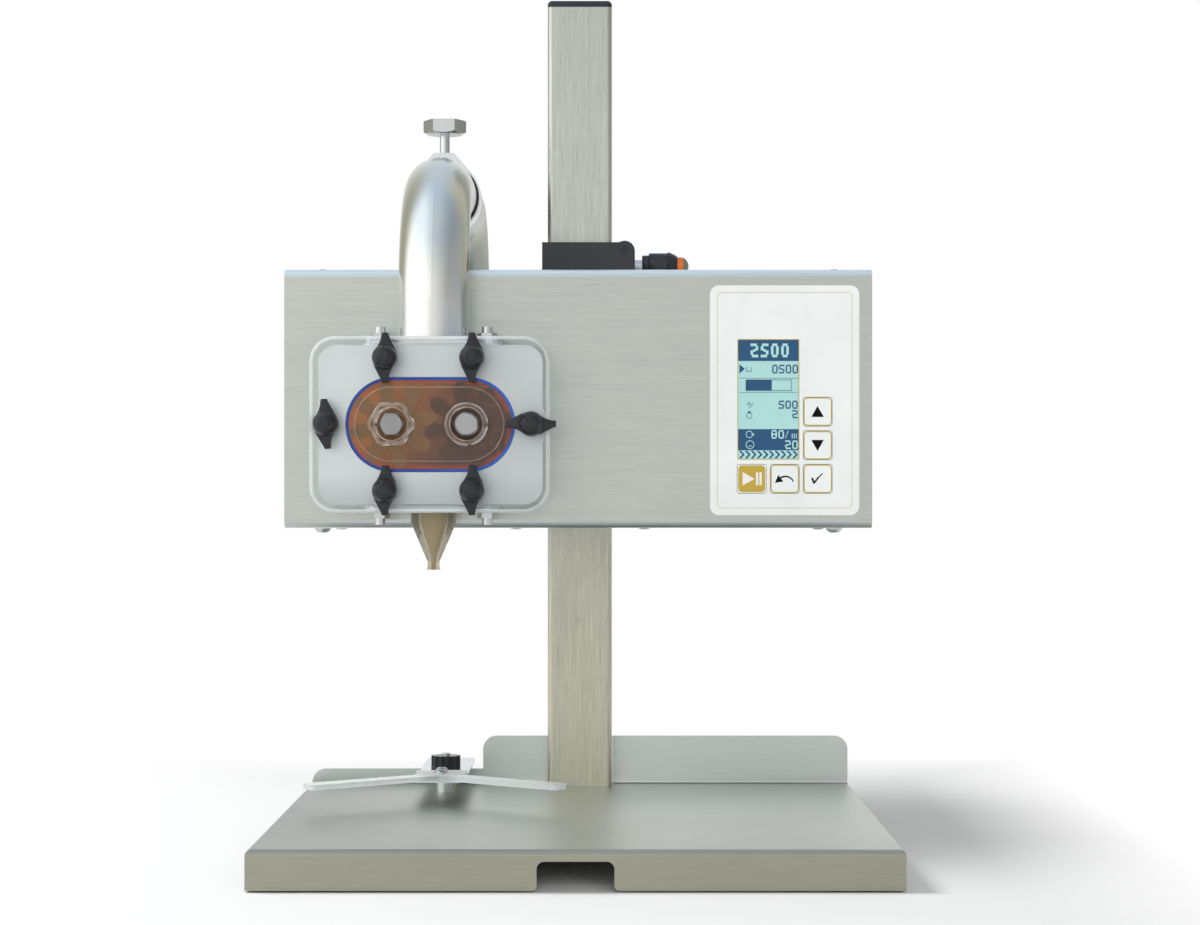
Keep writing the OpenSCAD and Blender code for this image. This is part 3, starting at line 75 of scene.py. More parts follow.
HOUSING = extent("housing_shell")
BASE = extent("base_plate")
PUMP = extent("pump_body")
CHAMBER = extent("cover_seal")
COVER = extent("pump_cover")
NOZZLE = extent("nozzle")
PANEL = extent("control_panel")
DISPLAY = extent("display_module")
SHAFTS = [extent("drive_shaft")[2], extent("idler_pin")[2]]
KNOBS = {  # the angle of each knob's wings, in degrees
    "knob_upper_left": 0, "knob_upper_right": 0, "knob_lower_left": 0, "knob_lower_right": 0,
    "knob_side_left": 4.6, "knob_side_right": 90,
}
KEYS = ("key_up", "key_down", "key_start", "key_back", "key_confirm")
SEAL_CORD = 1.7 * MM
CLEARANCE = 0.1 * MM
COVER_FRONT = PUMP[0].y - 12 * MM


# Settings


def colour(name, tip, default):
    """A colour that a user may change."""
    return bpy.props.FloatVectorProperty(
        name=name, description=tip, default=default, size=3, min=0, max=1, subtype="COLOR"
    )


def length(name, tip, default):
    """A small length that a user may change, in metres."""
    return bpy.props.FloatProperty(
        name=name, description=tip, default=default, min=0, max=0.01, unit="LENGTH", precision=5
    )


class FillerColours(bpy.types.PropertyGroup):
    """Colours of the machine's finishes."""

    sheet: colour("Sheet", "Brushed sheet of the housing", (0.493, 0.518, 0.48))
    # painted highlight: a lighter tone along the housing's top bend, and a dimmer copy of it along the foot
    # bend
    fold: colour("Fold", "Polished fold along the housing's top", (0.84, 0.87, 0.84))
    # painted light and shade on one sheet: base is the tray's lit middle, flange and lip are shaded tones of
    # its front flange and back lip
    base: colour("Base", "Brushed sheet of the base tray", (0.69, 0.715, 0.65))
    flange: colour("Flange", "Folded edges of the base tray", (0.345, 0.343, 0.272))
    lip: colour("Lip", "Upright edges at the tray's back", (0.62, 0.655, 0.625))
    column: colour("Column", "Brushed square tube", (0.485, 0.50, 0.45))
    column_foot: colour("Column foot", "Lower end of the square tube", (0.50, 0.485, 0.385))
    tube: colour("Tube", "Satin inlet pipe", (0.70, 0.71, 0.705))
    # painted light and shade on the pump body: 1.22 times this tone at the left, this tone at the right,
    # darker towards the foot
    pump: colour("Pump", "Bead-blasted pump body", (0.64, 0.675, 0.67))
    fastener: colour("Fastener", "Turned screws and nuts", (0.60, 0.61, 0.61))
    black: colour("Black", "Moulded knobs and cap", (0.019, 0.020, 0.022))
    paint: colour("Paint", "Black clamp collar and lever", (0.018, 0.020, 0.024))
    seal: colour("Seal", "Cord of the pump's seal", (0.002, 0.06, 0.40))
    # painted light and shade: one honey, lit at the window's left and shaded at its right, and the rotors'
    # lobes likewise
    honey_lit: colour("Light honey", "Honey at the window's left", (0.36, 0.12, 0.018))
    honey_shaded: colour("Dark honey", "Honey at the window's right", (0.085, 0.032, 0.02))
    rotor_lit: colour("Left rotor", "Lobes coated with light honey", (0.23, 0.115, 0.045))
    rotor_shaded: colour("Right rotor", "Lobes coated with dark honey", (0.10, 0.052, 0.032))
    panel: colour("Panel", "White panel film", (0.87, 0.905, 0.885))
    gold: colour("Gold", "Lines and start key", (0.54, 0.38, 0.045))
    glass: colour("Display", "Lit ground of the display", (0.43, 0.73, 0.71))
    ink: colour("Display ink", "Dark dots of the display", (0.022, 0.075, 0.16))
    # painted shade: a darker copy of the tube's tone for the elbow behind the pump
    elbow: colour("Elbow", "Dull elbow behind the pump", (0.285, 0.305, 0.255))
    shaft: colour("Shafts", "Ends of the rotor shafts", (0.44, 0.445, 0.43))
    stop: colour("Jar stop", "Milky plastic of the jar stop", (0.84, 0.87, 0.86))
    button: colour("Button", "Push button in the lever", (0.95, 0.19, 0.012))
    floor: colour("Floor", "Pale floor", (0.90, 0.90, 0.90))


class FillerSizes(bpy.types.PropertyGroup):
    """Small sizes that the looks add to the frame's own."""

    print_height: length("Print", "Height of printed lines and signs", 0.00006)
    cover_rim: length("Cover rim", "Rounding of the clear cover's outer rim", 0.0021)
    window_rise: length("Window", "Height of the cover's raised window", 0.0015)
    window_rim: length("Window rim", "Rounding of the raised window's rim", 0.0007)
    border_line: length("Border", "Width of the panel's border line", 0.00032)
    display_line: length("Display line", "Width of the line round the display", 0.00045)
    key_line: length("Key line", "Width of the line round a key", 0.00062)


def tone_of(name, factor=1.0):
    """A colour of the settings, darker or lighter by a factor."""
    return shade(getattr(bpy.context.scene.filler_colours, name), factor)


def shade(tone, factor):
    """A tone made darker or lighter."""
    return tuple(min(1.0, channel * factor) for channel in tone)


def sizes():
    return bpy.context.scene.filler_sizes


# Finishes


class Nodes:
    """Adds and links the nodes of one shader tree."""

    def __init__(self, tree):
        self.tree = tree

    def set(self, node, **values):
        """Sets or links a node's inputs: by name, with underscores for spaces, or as _2 by place."""
        for key, value in values.items():
            socket = node.inputs[int(key[1:]) if key[1:].isdigit() else key.replace("_", " ")]
            if isinstance(value, bpy.types.NodeSocket):
                self.tree.links.new(value, socket)
            else:
                socket.default_value = value

    def node(self, kind, settings=None, **values):
        node = self.tree.nodes.new("ShaderNode" + kind)
        for key, value in (settings or {}).items():
            setattr(node, key, value)
        self.set(node, **values)
        return node

    def split(self, vector):
        """The X, Y and Z of a vector."""
        return list(self.node("SeparateXYZ", Vector=vector).outputs)

    def band(self, value, low, high, out_low=0.0, out_high=1.0):
        """Maps a value from one range to another."""
        return self.node(
            "MapRange", _0=value, _1=low, _2=high, _3=out_low, _4=out_high
        ).outputs[0]

    def blend(self, share, first, second):
        """Mixes two colours, each a tuple or a socket, by a share."""
        node = self.node("Mix", {"data_type": "RGBA"})
        self.set(node, _0=share)
        for socket, value in ((node.inputs[6], first), (node.inputs[7], second)):
            if isinstance(value, bpy.types.NodeSocket):
                self.tree.links.new(value, socket)
            else:
                socket.default_value = (*value, 1.0)
        return node.outputs[2]

    def math(self, operation, first, second=0.0):
        """One sum, of numbers or sockets."""
        return self.node("Math", {"operation": operation}, _0=first, _1=second).outputs[0]

    def rays(self, *kinds):
        """1 for the kinds of ray named, 0 for others."""
        path = self.node("LightPath")
        found = path.outputs[f"Is {kinds[0]} Ray"]
        for kind in kinds[1:]:
            found = self.math("MAXIMUM", found, path.outputs[f"Is {kind} Ray"])
        return found


class Recipe(Nodes):
    """A procedural finish, built node by node round one Principled shader."""

    def __init__(self, name, base, **sockets):
        self.finish = bpy.data.materials.new(name)
        self.finish.use_nodes = True
        super().__init__(self.finish.node_tree)
        self.shader = self.tree.nodes["Principled BSDF"]
        self.set(self.shader, Base_Color=(*base, 1.0), **sockets)
        self.place = self.node("TexCoord").outputs["Object"]

    def noise(self, stretch, detail=3.0, rough=0.6):
        """Noise in object space, with so many waves a metre along each axis."""
        stretched = self.node("Mapping", Vector=self.place, Scale=stretch)
        return self.node(
            "TexNoise", Vector=stretched.outputs[0], Scale=1.0, Detail=detail, Roughness=rough
        ).outputs["Fac"]

    def placed(self, tone, places):
        """A tone that turns into others by place.

        Each place is (axis, (from, to), colour): the share of colour grows from 0 to 1 along the axis.
        """
        spot = self.split(self.place)
        for axis, span, other in places:
            tone = self.blend(self.band(spot[axis], *span), tone, other)
        return tone

    def tinted(self, tone, worn, contrast):
        """A tone, or a socket of one, made darker and lighter by a share."""
        node = self.node("Mix", {"data_type": "RGBA", "blend_type": "MULTIPLY"}, _0=1.0)
        self.set(node, _6=tone if isinstance(tone, bpy.types.NodeSocket) else (*tone, 1.0))
        self.set(node, _7=self.blend(worn, (1 - contrast,) * 3, (1 + contrast,) * 3))
        return node.outputs[2]

    def bump(self, height, strength, depth):
        """Relief from a height, down to a depth in metres."""
        relief = self.node("Bump", Strength=strength, Distance=depth, Height=height)
        self.set(self.shader, Normal=relief.outputs[0])

    def lets_lamps_through(self, tint):
        """Lamps reach what is behind the piece, tinted by it."""
        clear = self.node("BsdfTransparent", Color=(*tint, 1.0))
        self.mixed(self.rays("Shadow"), clear)

    def mixed(self, share, other):
        """Mixes another shader into the surface."""
        node = self.node("MixShader", _0=share, _1=self.shader.outputs[0], _2=other.outputs[0])
        self.set(self.tree.nodes["Material Output"], Surface=node.outputs[0])


STROKES = (  # waves a metre along and across the grain, detail, share
    (45, 1900, 3.0, 0.6), (16, 820, 2.0, 0.28), (150, 700, 1.0, 0.12),
)


def brushed(name, tone, along, rough, contrast, places):
    """Stainless sheet with a fine grain: along X on most faces and along Y on its sides, or along Z."""
    recipe = Recipe(name, tone, Metallic=1.0)

    def grain(way):
        total = 0.0
        for slow, fast, detail, share in STROKES:
            stretch = [slow if axis == way else fast for axis in (X, Y, Z)]
            waves = recipe.noise(stretch, detail, 0.65)
            total = recipe.math("ADD", total, recipe.math("MULTIPLY", waves, share))
        return total

    if along == Z:
        lines = grain(Z)
    else:
        facing = recipe.split(recipe.node("NewGeometry").outputs["Normal"])
        side = recipe.math("GREATER_THAN", recipe.math("ABSOLUTE", facing[X]), 0.7)
        lines = recipe.node(
            "Mix", {"data_type": "FLOAT"}, _0=side, _2=grain(X), _3=grain(Y)
        ).outputs[0]
    streak = recipe.band(lines, 0.36, 0.64)
    clouds = recipe.band(recipe.noise((9, 9, 9), 4.0, 0.55), 0.35, 0.65)
    worn = recipe.math(
        "ADD", recipe.math("MULTIPLY", streak, 0.75), recipe.math("MULTIPLY", clouds, 0.25)
    )
    recipe.set(
        recipe.shader,
        Base_Color=recipe.tinted(recipe.placed(tone, places), worn, contrast),
        Roughness=recipe.band(worn, 0.2, 0.8, rough + 0.05, rough - 0.04),
    )
    recipe.bump(streak, 0.12, 0.05 * MM)
    return recipe.finish


def satin_tube(name, tone):
    """Satin pipe with faint cool and warm stains and a soft grain along it."""
    recipe = Recipe(name, tone, Metallic=1.0)
    grain = recipe.noise((700, 700, 120), 3.0, 0.7)
    stains = recipe.noise((16, 16, 11), 3.0)
    cool = (tone[0] * 0.88, tone[1] * 0.95, tone[2] * 1.06)
    warm = (tone[0] * 1.08, tone[1] * 1.04, tone[2] * 0.93)
    recipe.set(
        recipe.shader,
        Base_Color=recipe.blend(recipe.band(stains, 0.38, 0.62), cool, warm),
        Roughness=recipe.band(grain, 0.3, 0.7, 0.22, 0.28),
    )
    recipe.bump(grain, 0.03, 0.02 * MM)
    return recipe.finish


def blasted(name, tone, rough=0.42, waves=2600, depth=0.09 * MM, places=()):
    """Bead-blasted or cast metal: an even fine grain."""
    recipe = Recipe(name, tone, Metallic=1.0)
    grain = recipe.noise((waves,) * 3, 2.0, 0.6)
    clouds = recipe.math("MULTIPLY", recipe.math("ADD", recipe.noise((22,) * 3, 3.0), grain), 0.5)
    recipe.set(
        recipe.shader,
        Base_Color=recipe.tinted(recipe.placed(tone, places), clouds, 0.09),
        Roughness=recipe.band(grain, 0.3, 0.7, rough - 0.05, rough + 0.07),
    )
    recipe.bump(grain, 0.3, depth)
    return recipe.finish


def turned_metal(name, tone, rough=0.24):
    """Machined screws and shafts."""
    recipe = Recipe(name, tone, Metallic=1.0)
    grain = recipe.noise((1800,) * 3, 3.0, 0.7)
    wear = recipe.noise((60,) * 3, 3.0)
    recipe.set(
        recipe.shader,
        Base_Color=recipe.blend(wear, shade(tone, 0.88), shade(tone, 1.08)),
        Roughness=recipe.band(grain, 0.3, 0.7, rough - 0.05, rough + 0.08),
    )
    recipe.bump(grain, 0.12, 0.05 * MM)
    return recipe.finish


def moulded(name, tone, rough=0.3, waves=900, depth=0.05 * MM, places=(), **sockets):
    """Plastic, rubber or paint: a fine moulded grain, a little uneven in colour and gloss."""
    recipe = Recipe(name, tone, **sockets)
    grain = recipe.noise((waves,) * 3, 2.0)
    clouds = recipe.noise((35,) * 3, 2.0)
    recipe.set(
        recipe.shader,
        Base_Color=recipe.tinted(recipe.placed(tone, places), clouds, 0.08),
        Roughness=recipe.band(clouds, 0.3, 0.7, rough - 0.03, rough + 0.05),
    )
    recipe.bump(grain, 0.2, depth)
    return recipe.finish


def see_through(name, tone, rough, ior):
    """Clear plastic that lamps shine through."""
    recipe = Recipe(name, tone, Transmission_Weight=1.0, IOR=ior, Specular_Tint=(0.4, 0.4, 0.4, 1.0))
    haze = recipe.noise((180,) * 3, 3.0)
    recipe.set(recipe.shader, Roughness=recipe.band(haze, 0.3, 0.7, rough, rough + 0.03))
    recipe.bump(recipe.noise((70,) * 3, 2.0), 0.03, 0.1 * MM)
    recipe.lets_lamps_through((0.93, 0.95, 0.95))
    return recipe.finish


def milky(name, tone, clearness, ior, rough):
    """Cloudy plastic that some light passes."""
    recipe = Recipe(name, tone, Transmission_Weight=clearness, IOR=ior)
    waves = recipe.noise((30,) * 3, 2.0)
    recipe.set(
        recipe.shader,
        Base_Color=recipe.tinted(tone, waves, 0.08),
        Roughness=recipe.band(waves, 0.3, 0.7, rough, rough + 0.15),
    )
    recipe.lets_lamps_through(shade(tone, 0.8))
    return recipe.finish


# Spans over which one finish turns into another, in metres
# painted highlights along the housing's top and foot bends
FOLD_TOP_HIGHLIGHT = (HOUSING[1].z - 4.8 * MM, HOUSING[1].z - 2.0 * MM)
FOLD_FOOT_HIGHLIGHT = (HOUSING[0].z + 4.4 * MM, HOUSING[0].z + 2.0 * MM)
# painted shade on the base tray: darker towards both sides, on the front flange and on the back lip
TRAY_LEFT_SHADE = (-10 * MM, BASE[0].x)
TRAY_RIGHT_SHADE = (10 * MM, BASE[1].x - 50 * MM)
TRAY_FLANGE_SHADE = (BASE[0].y + 3.5 * MM, BASE[0].y + 0.5 * MM)
TRAY_LIP_SHADING = (BASE[0].z + 21.5 * MM, BASE[0].z + 29.0 * MM)
COLUMN_FOOT = (260 * MM, 100 * MM)
# painted shade on the pump body, towards its right and towards its foot
PUMP_RIGHT_SHADE = (PUMP[0].x + 13.2 * MM, PUMP[0].x + 98.2 * MM)
PUMP_FOOT_SHADE = (PUMP[0].z + 17.9 * MM, PUMP[0].z - 2.1 * MM)
# painted light: the seal turns a brighter blue towards the right
SEAL_RIGHT_LIGHT = (CHAMBER[2].x - 8 * MM, CHAMBER[2].x + 42 * MM)
NOZZLE_FLANGE = (NOZZLE[1].z - 2.8 * MM, NOZZLE[1].z - 2.7 * MM)
HONEYED = {"rough": 0.3, "waves": 1200, "Specular_IOR_Level": 0.12}
FILM = {"waves": 1300, "depth": 0.03 * MM}
FINISHES = {}


def nozzle_shell(name, tone, metal):
    """Smoky plastic under a blasted metal flange."""
    recipe = Recipe(name, tone, IOR=1.12)
    flange = recipe.band(recipe.split(recipe.place)[Z], *NOZZLE_FLANGE)
    waves = recipe.noise((30,) * 3, 2.0)
    recipe.set(
        recipe.shader,
        Base_Color=recipe.tinted(recipe.blend(flange, tone, metal), waves, 0.08),
        Metallic=flange,
        Transmission_Weight=recipe.math("MULTIPLY", recipe.math("SUBTRACT", 1.0, flange), 0.82),
        Roughness=recipe.band(flange, 0.0, 1.0, 0.26, 0.42),
    )
    recipe.lets_lamps_through(shade(tone, 0.8))
    return recipe.finish


def make_finishes():
    """One finish for each of the record's material slots."""
    return {
        "housing_steel": brushed(
            "brushed_housing", tone_of("sheet"), X, 0.32, 0.075,
            # painted highlights on the top and foot bends
            [(Z, FOLD_TOP_HIGHLIGHT, tone_of("fold")), (Z, FOLD_FOOT_HIGHLIGHT, tone_of("fold", 0.72))],
        ),
        # painted shade on the tray's sides, front flange and back lip
        "base_steel": brushed(
            "brushed_base", tone_of("base"), X, 0.4, 0.045,
            [
                (X, TRAY_LEFT_SHADE, tone_of("base", 0.62)), (X, TRAY_RIGHT_SHADE, tone_of("base", 0.83)),
                (Y, TRAY_FLANGE_SHADE, tone_of("flange")), (Z, TRAY_LIP_SHADING, tone_of("lip")),
            ],
        ),
        "column_steel": brushed(
            "brushed_column", tone_of("column"), Z, 0.34, 0.2, [(Z, COLUMN_FOOT, tone_of("column_foot"))]
        ),
        "tube_steel": satin_tube("satin_tube", tone_of("tube")),
        # painted light: the pump body lighter at the left, painted shade towards the right and the foot
        "pump_steel": blasted(
            "blasted_pump", tone_of("pump", 1.22),
            places=[(X, PUMP_RIGHT_SHADE, tone_of("pump")), (Z, PUMP_FOOT_SHADE, tone_of("pump", 0.8))],
        ),
        "fastener_steel": turned_metal("turned_fastener", tone_of("fastener")),
        "black_metal": moulded("black_paint", tone_of("paint"), 0.38, 1500, 0.08 * MM),
        "black_plastic": moulded(
            "black_moulding", tone_of("black"), 0.27, 900, 0.03 * MM, Specular_IOR_Level=0.32
        ),
        "clear_plastic": see_through("clear_plastic", (0.98, 0.99, 0.99), 0.01, 1.49),
        "nozzle_plastic": nozzle_shell("smoky_plastic", (0.59, 0.535, 0.43), tone_of("pump")),
        # painted light: the drive rotor's lobes take the lit tone
        "rotor_plastic": moulded("left_rotor", tone_of("rotor_lit"), **HONEYED),
        # painted light: brighter blue towards the seal's right
        "seal_blue": moulded(
            "seal_cord", tone_of("seal"), 0.4, places=[(X, SEAL_RIGHT_LIGHT, (0.018, 0.14, 0.62))],
            Specular_IOR_Level=0.15,
        ),
        "seal_black": moulded("black_rubber", (0.012, 0.012, 0.012), 0.45),
        "gasket_white": moulded("white_gasket", (0.74, 0.74, 0.71), 0.5),
        "foot_rubber": moulded("foot_rubber", (0.015, 0.015, 0.015), 0.7, 700, 0.1 * MM),
        "panel_white": moulded("panel_film", tone_of("panel"), 0.33, **FILM),
        "key_white": moulded("key_film", tone_of("panel"), 0.36, **FILM),
        "key_gold": moulded("gold_film", tone_of("gold"), 0.34, **FILM),
        "display_glass": moulded("display_ground", tone_of("glass"), 0.22, 900, 0.01 * MM),
        "board_green": moulded("circuit_board", (0.012, 0.13, 0.05), 0.4),
        "supply_metal": blasted("folded_case", (0.5, 0.52, 0.54), 0.38),
        "gearbox_metal": blasted("cast_gearbox", (0.28, 0.29, 0.31), 0.5, 700, 0.3 * MM),
        "motor_black": moulded("motor_paint", (0.012, 0.012, 0.013), 0.4),
        "guide_plastic": moulded("guide_plastic", (0.014, 0.014, 0.014), 0.5),
        "brass": turned_metal("turned_brass", (0.60, 0.41, 0.12), 0.28),
        "button_orange": moulded("orange_button", tone_of("button"), 0.32),
        "rocker_red": moulded("red_rocker", (0.42, 0.012, 0.008), 0.28),
    }


class FILLER_OT_finishes(bpy.types.Operator):
    """Give every node of the frame the finish of its material slot"""

    bl_idname = "filler.finishes"
    bl_label = "Finishes"

    def execute(self, context):
        FINISHES.update(make_finishes())
        own = {
            # painted shade: the elbow behind the pump gets a darker copy of the tube
            "inlet_elbow": satin_tube("dull_elbow", tone_of("elbow")),
            "idler_pin": turned_metal("shaft_end", tone_of("shaft"), 0.4),
            "drive_shaft": turned_metal("hexagon_end", tone_of("shaft", 0.78), 0.4),
            "jar_stop_plate": milky("milky_plastic", tone_of("stop"), 0.45, 1.3, 0.25),
            "column_cap": moulded("column_cap", (0.010, 0.014, 0.022), 0.5),
            # painted shade: the idler rotor's lobes take the shaded tone
            "idler_rotor": moulded("right_rotor", tone_of("rotor_shaded"), **HONEYED),
        }
        for row in FRAME["record"]["subparts"]:
            finish = own.get(row["node"], FINISHES[row["material_slot"]])
            for slot in FRAME["nodes"][row["node"]].material_slots:
                slot.material = finish
        return {"FINISHED"}


# Modelling by hand


def lone():
    """Object mode, with nothing selected."""
    if bpy.context.mode != "OBJECT":
        bpy.ops.object.mode_set(mode="OBJECT")
    bpy.ops.object.select_all(action="DESELECT")


def take(piece):
    """Selects a piece alone and makes it active."""
    lone()
    piece.select_set(True)
    bpy.context.view_layer.objects.active = piece


def settle(name):
    """Names the active object and puts its place into its mesh."""
    piece = bpy.context.active_object
    piece.name = piece.data.name = name
    bpy.ops.object.transform_apply(location=True, rotation=True, scale=True)
    return piece


@contextmanager
def shaping(piece):
    """Edit mode on one piece, with nothing selected."""
    take(piece)
    bpy.ops.object.mode_set(mode="EDIT")
    bpy.ops.mesh.select_all(action="DESELECT")
    yield
    bpy.ops.object.mode_set(mode="OBJECT")


def pick(kind, test):
    """In edit mode, selects the EDGE or FACE items that pass a test."""
    mesh = bpy.context.edit_object.data
    shape = bmesh.from_edit_mesh(mesh)
    bpy.ops.mesh.select_mode(type=kind)
    bpy.ops.mesh.select_all(action="DESELECT")
    for item in {"EDGE": shape.edges, "FACE": shape.faces}[kind]:
        item.select_set(bool(test(item)))
    shape.select_flush_mode()
    bmesh.update_edit_mesh(mesh)


def runs_along(edge, axis):
    """True for an edge parallel to an axis."""
    run = edge.verts[1].co - edge.verts[0].co
    return abs(run[axis]) > 0.999 * run.length


def block(name, low, high):
    """Box between two corners."""
    lone()
    low, high = Vector(low), Vector(high)
    bpy.ops.mesh.primitive_cube_add(size=1, location=(low + high) / 2, scale=high - low)
    return settle(name)


def slab(name, place, grow, front, rear, corner, rim=0.0, steps=10):
    """Plate square to the machine's front, with round corners and a rounded front rim.

    It is as wide and tall as its place, or more by what it grows.
    """
    low, high, mid = place
    wide, tall = (high.x - low.x + grow[0]) / 2, (high.z - low.z + grow[1]) / 2
    piece = block(name, (mid.x - wide, front, mid.z - tall), (mid.x + wide, rear, mid.z + tall))
    with shaping(piece):
        pick("EDGE", lambda e: runs_along(e, Y))
        bpy.ops.mesh.bevel(offset=corner, segments=steps, affect="EDGES")
        bpy.ops.mesh.select_all(action="SELECT")
        bpy.ops.mesh.remove_doubles(threshold=0.01 * MM)
        if rim:
            pick("EDGE", lambda e: all(abs(v.co.y - front) < 0.001 * MM for v in e.verts))
            bpy.ops.mesh.bevel(offset=rim, segments=3, affect="EDGES")
    return piece


def scaled(rows):
    """Rows of millimetres in metres."""
    return [tuple(value * MM for value in row) for row in rows]


def drawn(name, rings, across, steps, turn):
    """Closed form drawn out of a circle: rings of (middle, radius), each widened across its way."""
    lone()
    bpy.ops.mesh.primitive_circle_add(
        vertices=steps, radius=rings[0][1], location=rings[0][0], rotation=turn
    )
    piece = settle(name)
    with shaping(piece):
        pick("EDGE", lambda e: True)
        bpy.ops.mesh.edge_face_add()
        pick("EDGE", lambda e: True)
        for (before, radius), (after, wider) in zip(rings, rings[1:]):
            bpy.ops.mesh.extrude_edges_move(TRANSFORM_OT_translate={"value": after - before})
            ratio = wider / radius
            bpy.ops.transform.resize(
                value=[ratio if axis in across else 1 for axis in (X, Y, Z)], center_override=after
            )
        bpy.ops.mesh.edge_face_add()
        bpy.ops.mesh.select_all(action="SELECT")
        bpy.ops.mesh.remove_doubles(threshold=0.0001 * MM)
        bpy.ops.mesh.normals_make_consistent(inside=False)
    return piece


def turned(name, profile, centre, facing, steps=64, twist=0.0):
    """Turned piece: rings of (radius, height) in millimetres, from centre towards facing."""
    rings = [(UP * height, radius) for radius, height in scaled(profile)]
    piece = drawn(name, rings, (X, Y), steps, (0, 0, twist))
    piece.matrix_world = Matrix.LocRotScale(centre, facing.to_track_quat("Z", "Y"), None)
    take(piece)
    return settle(name)


def apply(piece, kind, **settings):
    """Adds a modifier and applies it."""
    take(piece)
    modifier = piece.modifiers.new(kind.lower(), kind)
    for key, value in settings.items():
        setattr(modifier, key, value)
    bpy.ops.object.modifier_apply(modifier=modifier.name)
    return piece


def carve(piece, tool, operation="DIFFERENCE"):
    """Cuts a tool out of a piece, or welds it on, and takes the tool away."""
    apply(piece, "BOOLEAN", object=tool, operation=operation, solver="EXACT")
    bpy.data.objects.remove(tool)
    return piece


def smooth(piece, angle=30):
    """Smooth shading, apart from edges sharper than an angle."""
    take(piece)
    bpy.ops.object.shade_smooth_by_angle(angle=math.radians(angle))
    return piece


def copied(piece, name, move):
    """Copy with a mesh of its own, moved by a matrix."""
    twin = piece.copy()
    twin.data = piece.data.copy()
    twin.name = twin.data.name = name
    twin.data.transform(move)
    bpy.context.scene.collection.objects.link(twin)
    return twin


def dress(piece, body, slot, *nodes, finish=None):
    """The piece gets its finish, rides on its body and stands for the nodes it takes over."""
    piece.data.materials.clear()
    piece.data.materials.append(finish or FINISHES[slot])
    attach(piece, body)
    if nodes:
        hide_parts(*nodes)
    return piece


# Pump


COVER_CORNER = 14.3 * MM
COVER_GAP = 0.08 * MM  # between the pump body and the cover
HEXAGON_EDGE = 2.6 * MM
WINDOW_INSET = 3.9 * MM  # from the seal's inner side
SHOULDER = 4.9 * MM  # from the cover's front to where the domes turn round
DOME_REACH = 14 * MM
HOLE_REACH = 4 * MM
RIM_REACH = 5 * MM
FORWARD, SIDEWAYS = 0.97, 0.05  # how far a face's normal follows the Y axis
# RIM_HIGHLIGHT and LINE_HIGHLIGHT are milky finishes that paint highlights: round the cover's rim, on the
# window's step and on the domes' shoulders
CLEAR, RIM_HIGHLIGHT, DOME, LINE_HIGHLIGHT = range(4)  # the cover's finishes


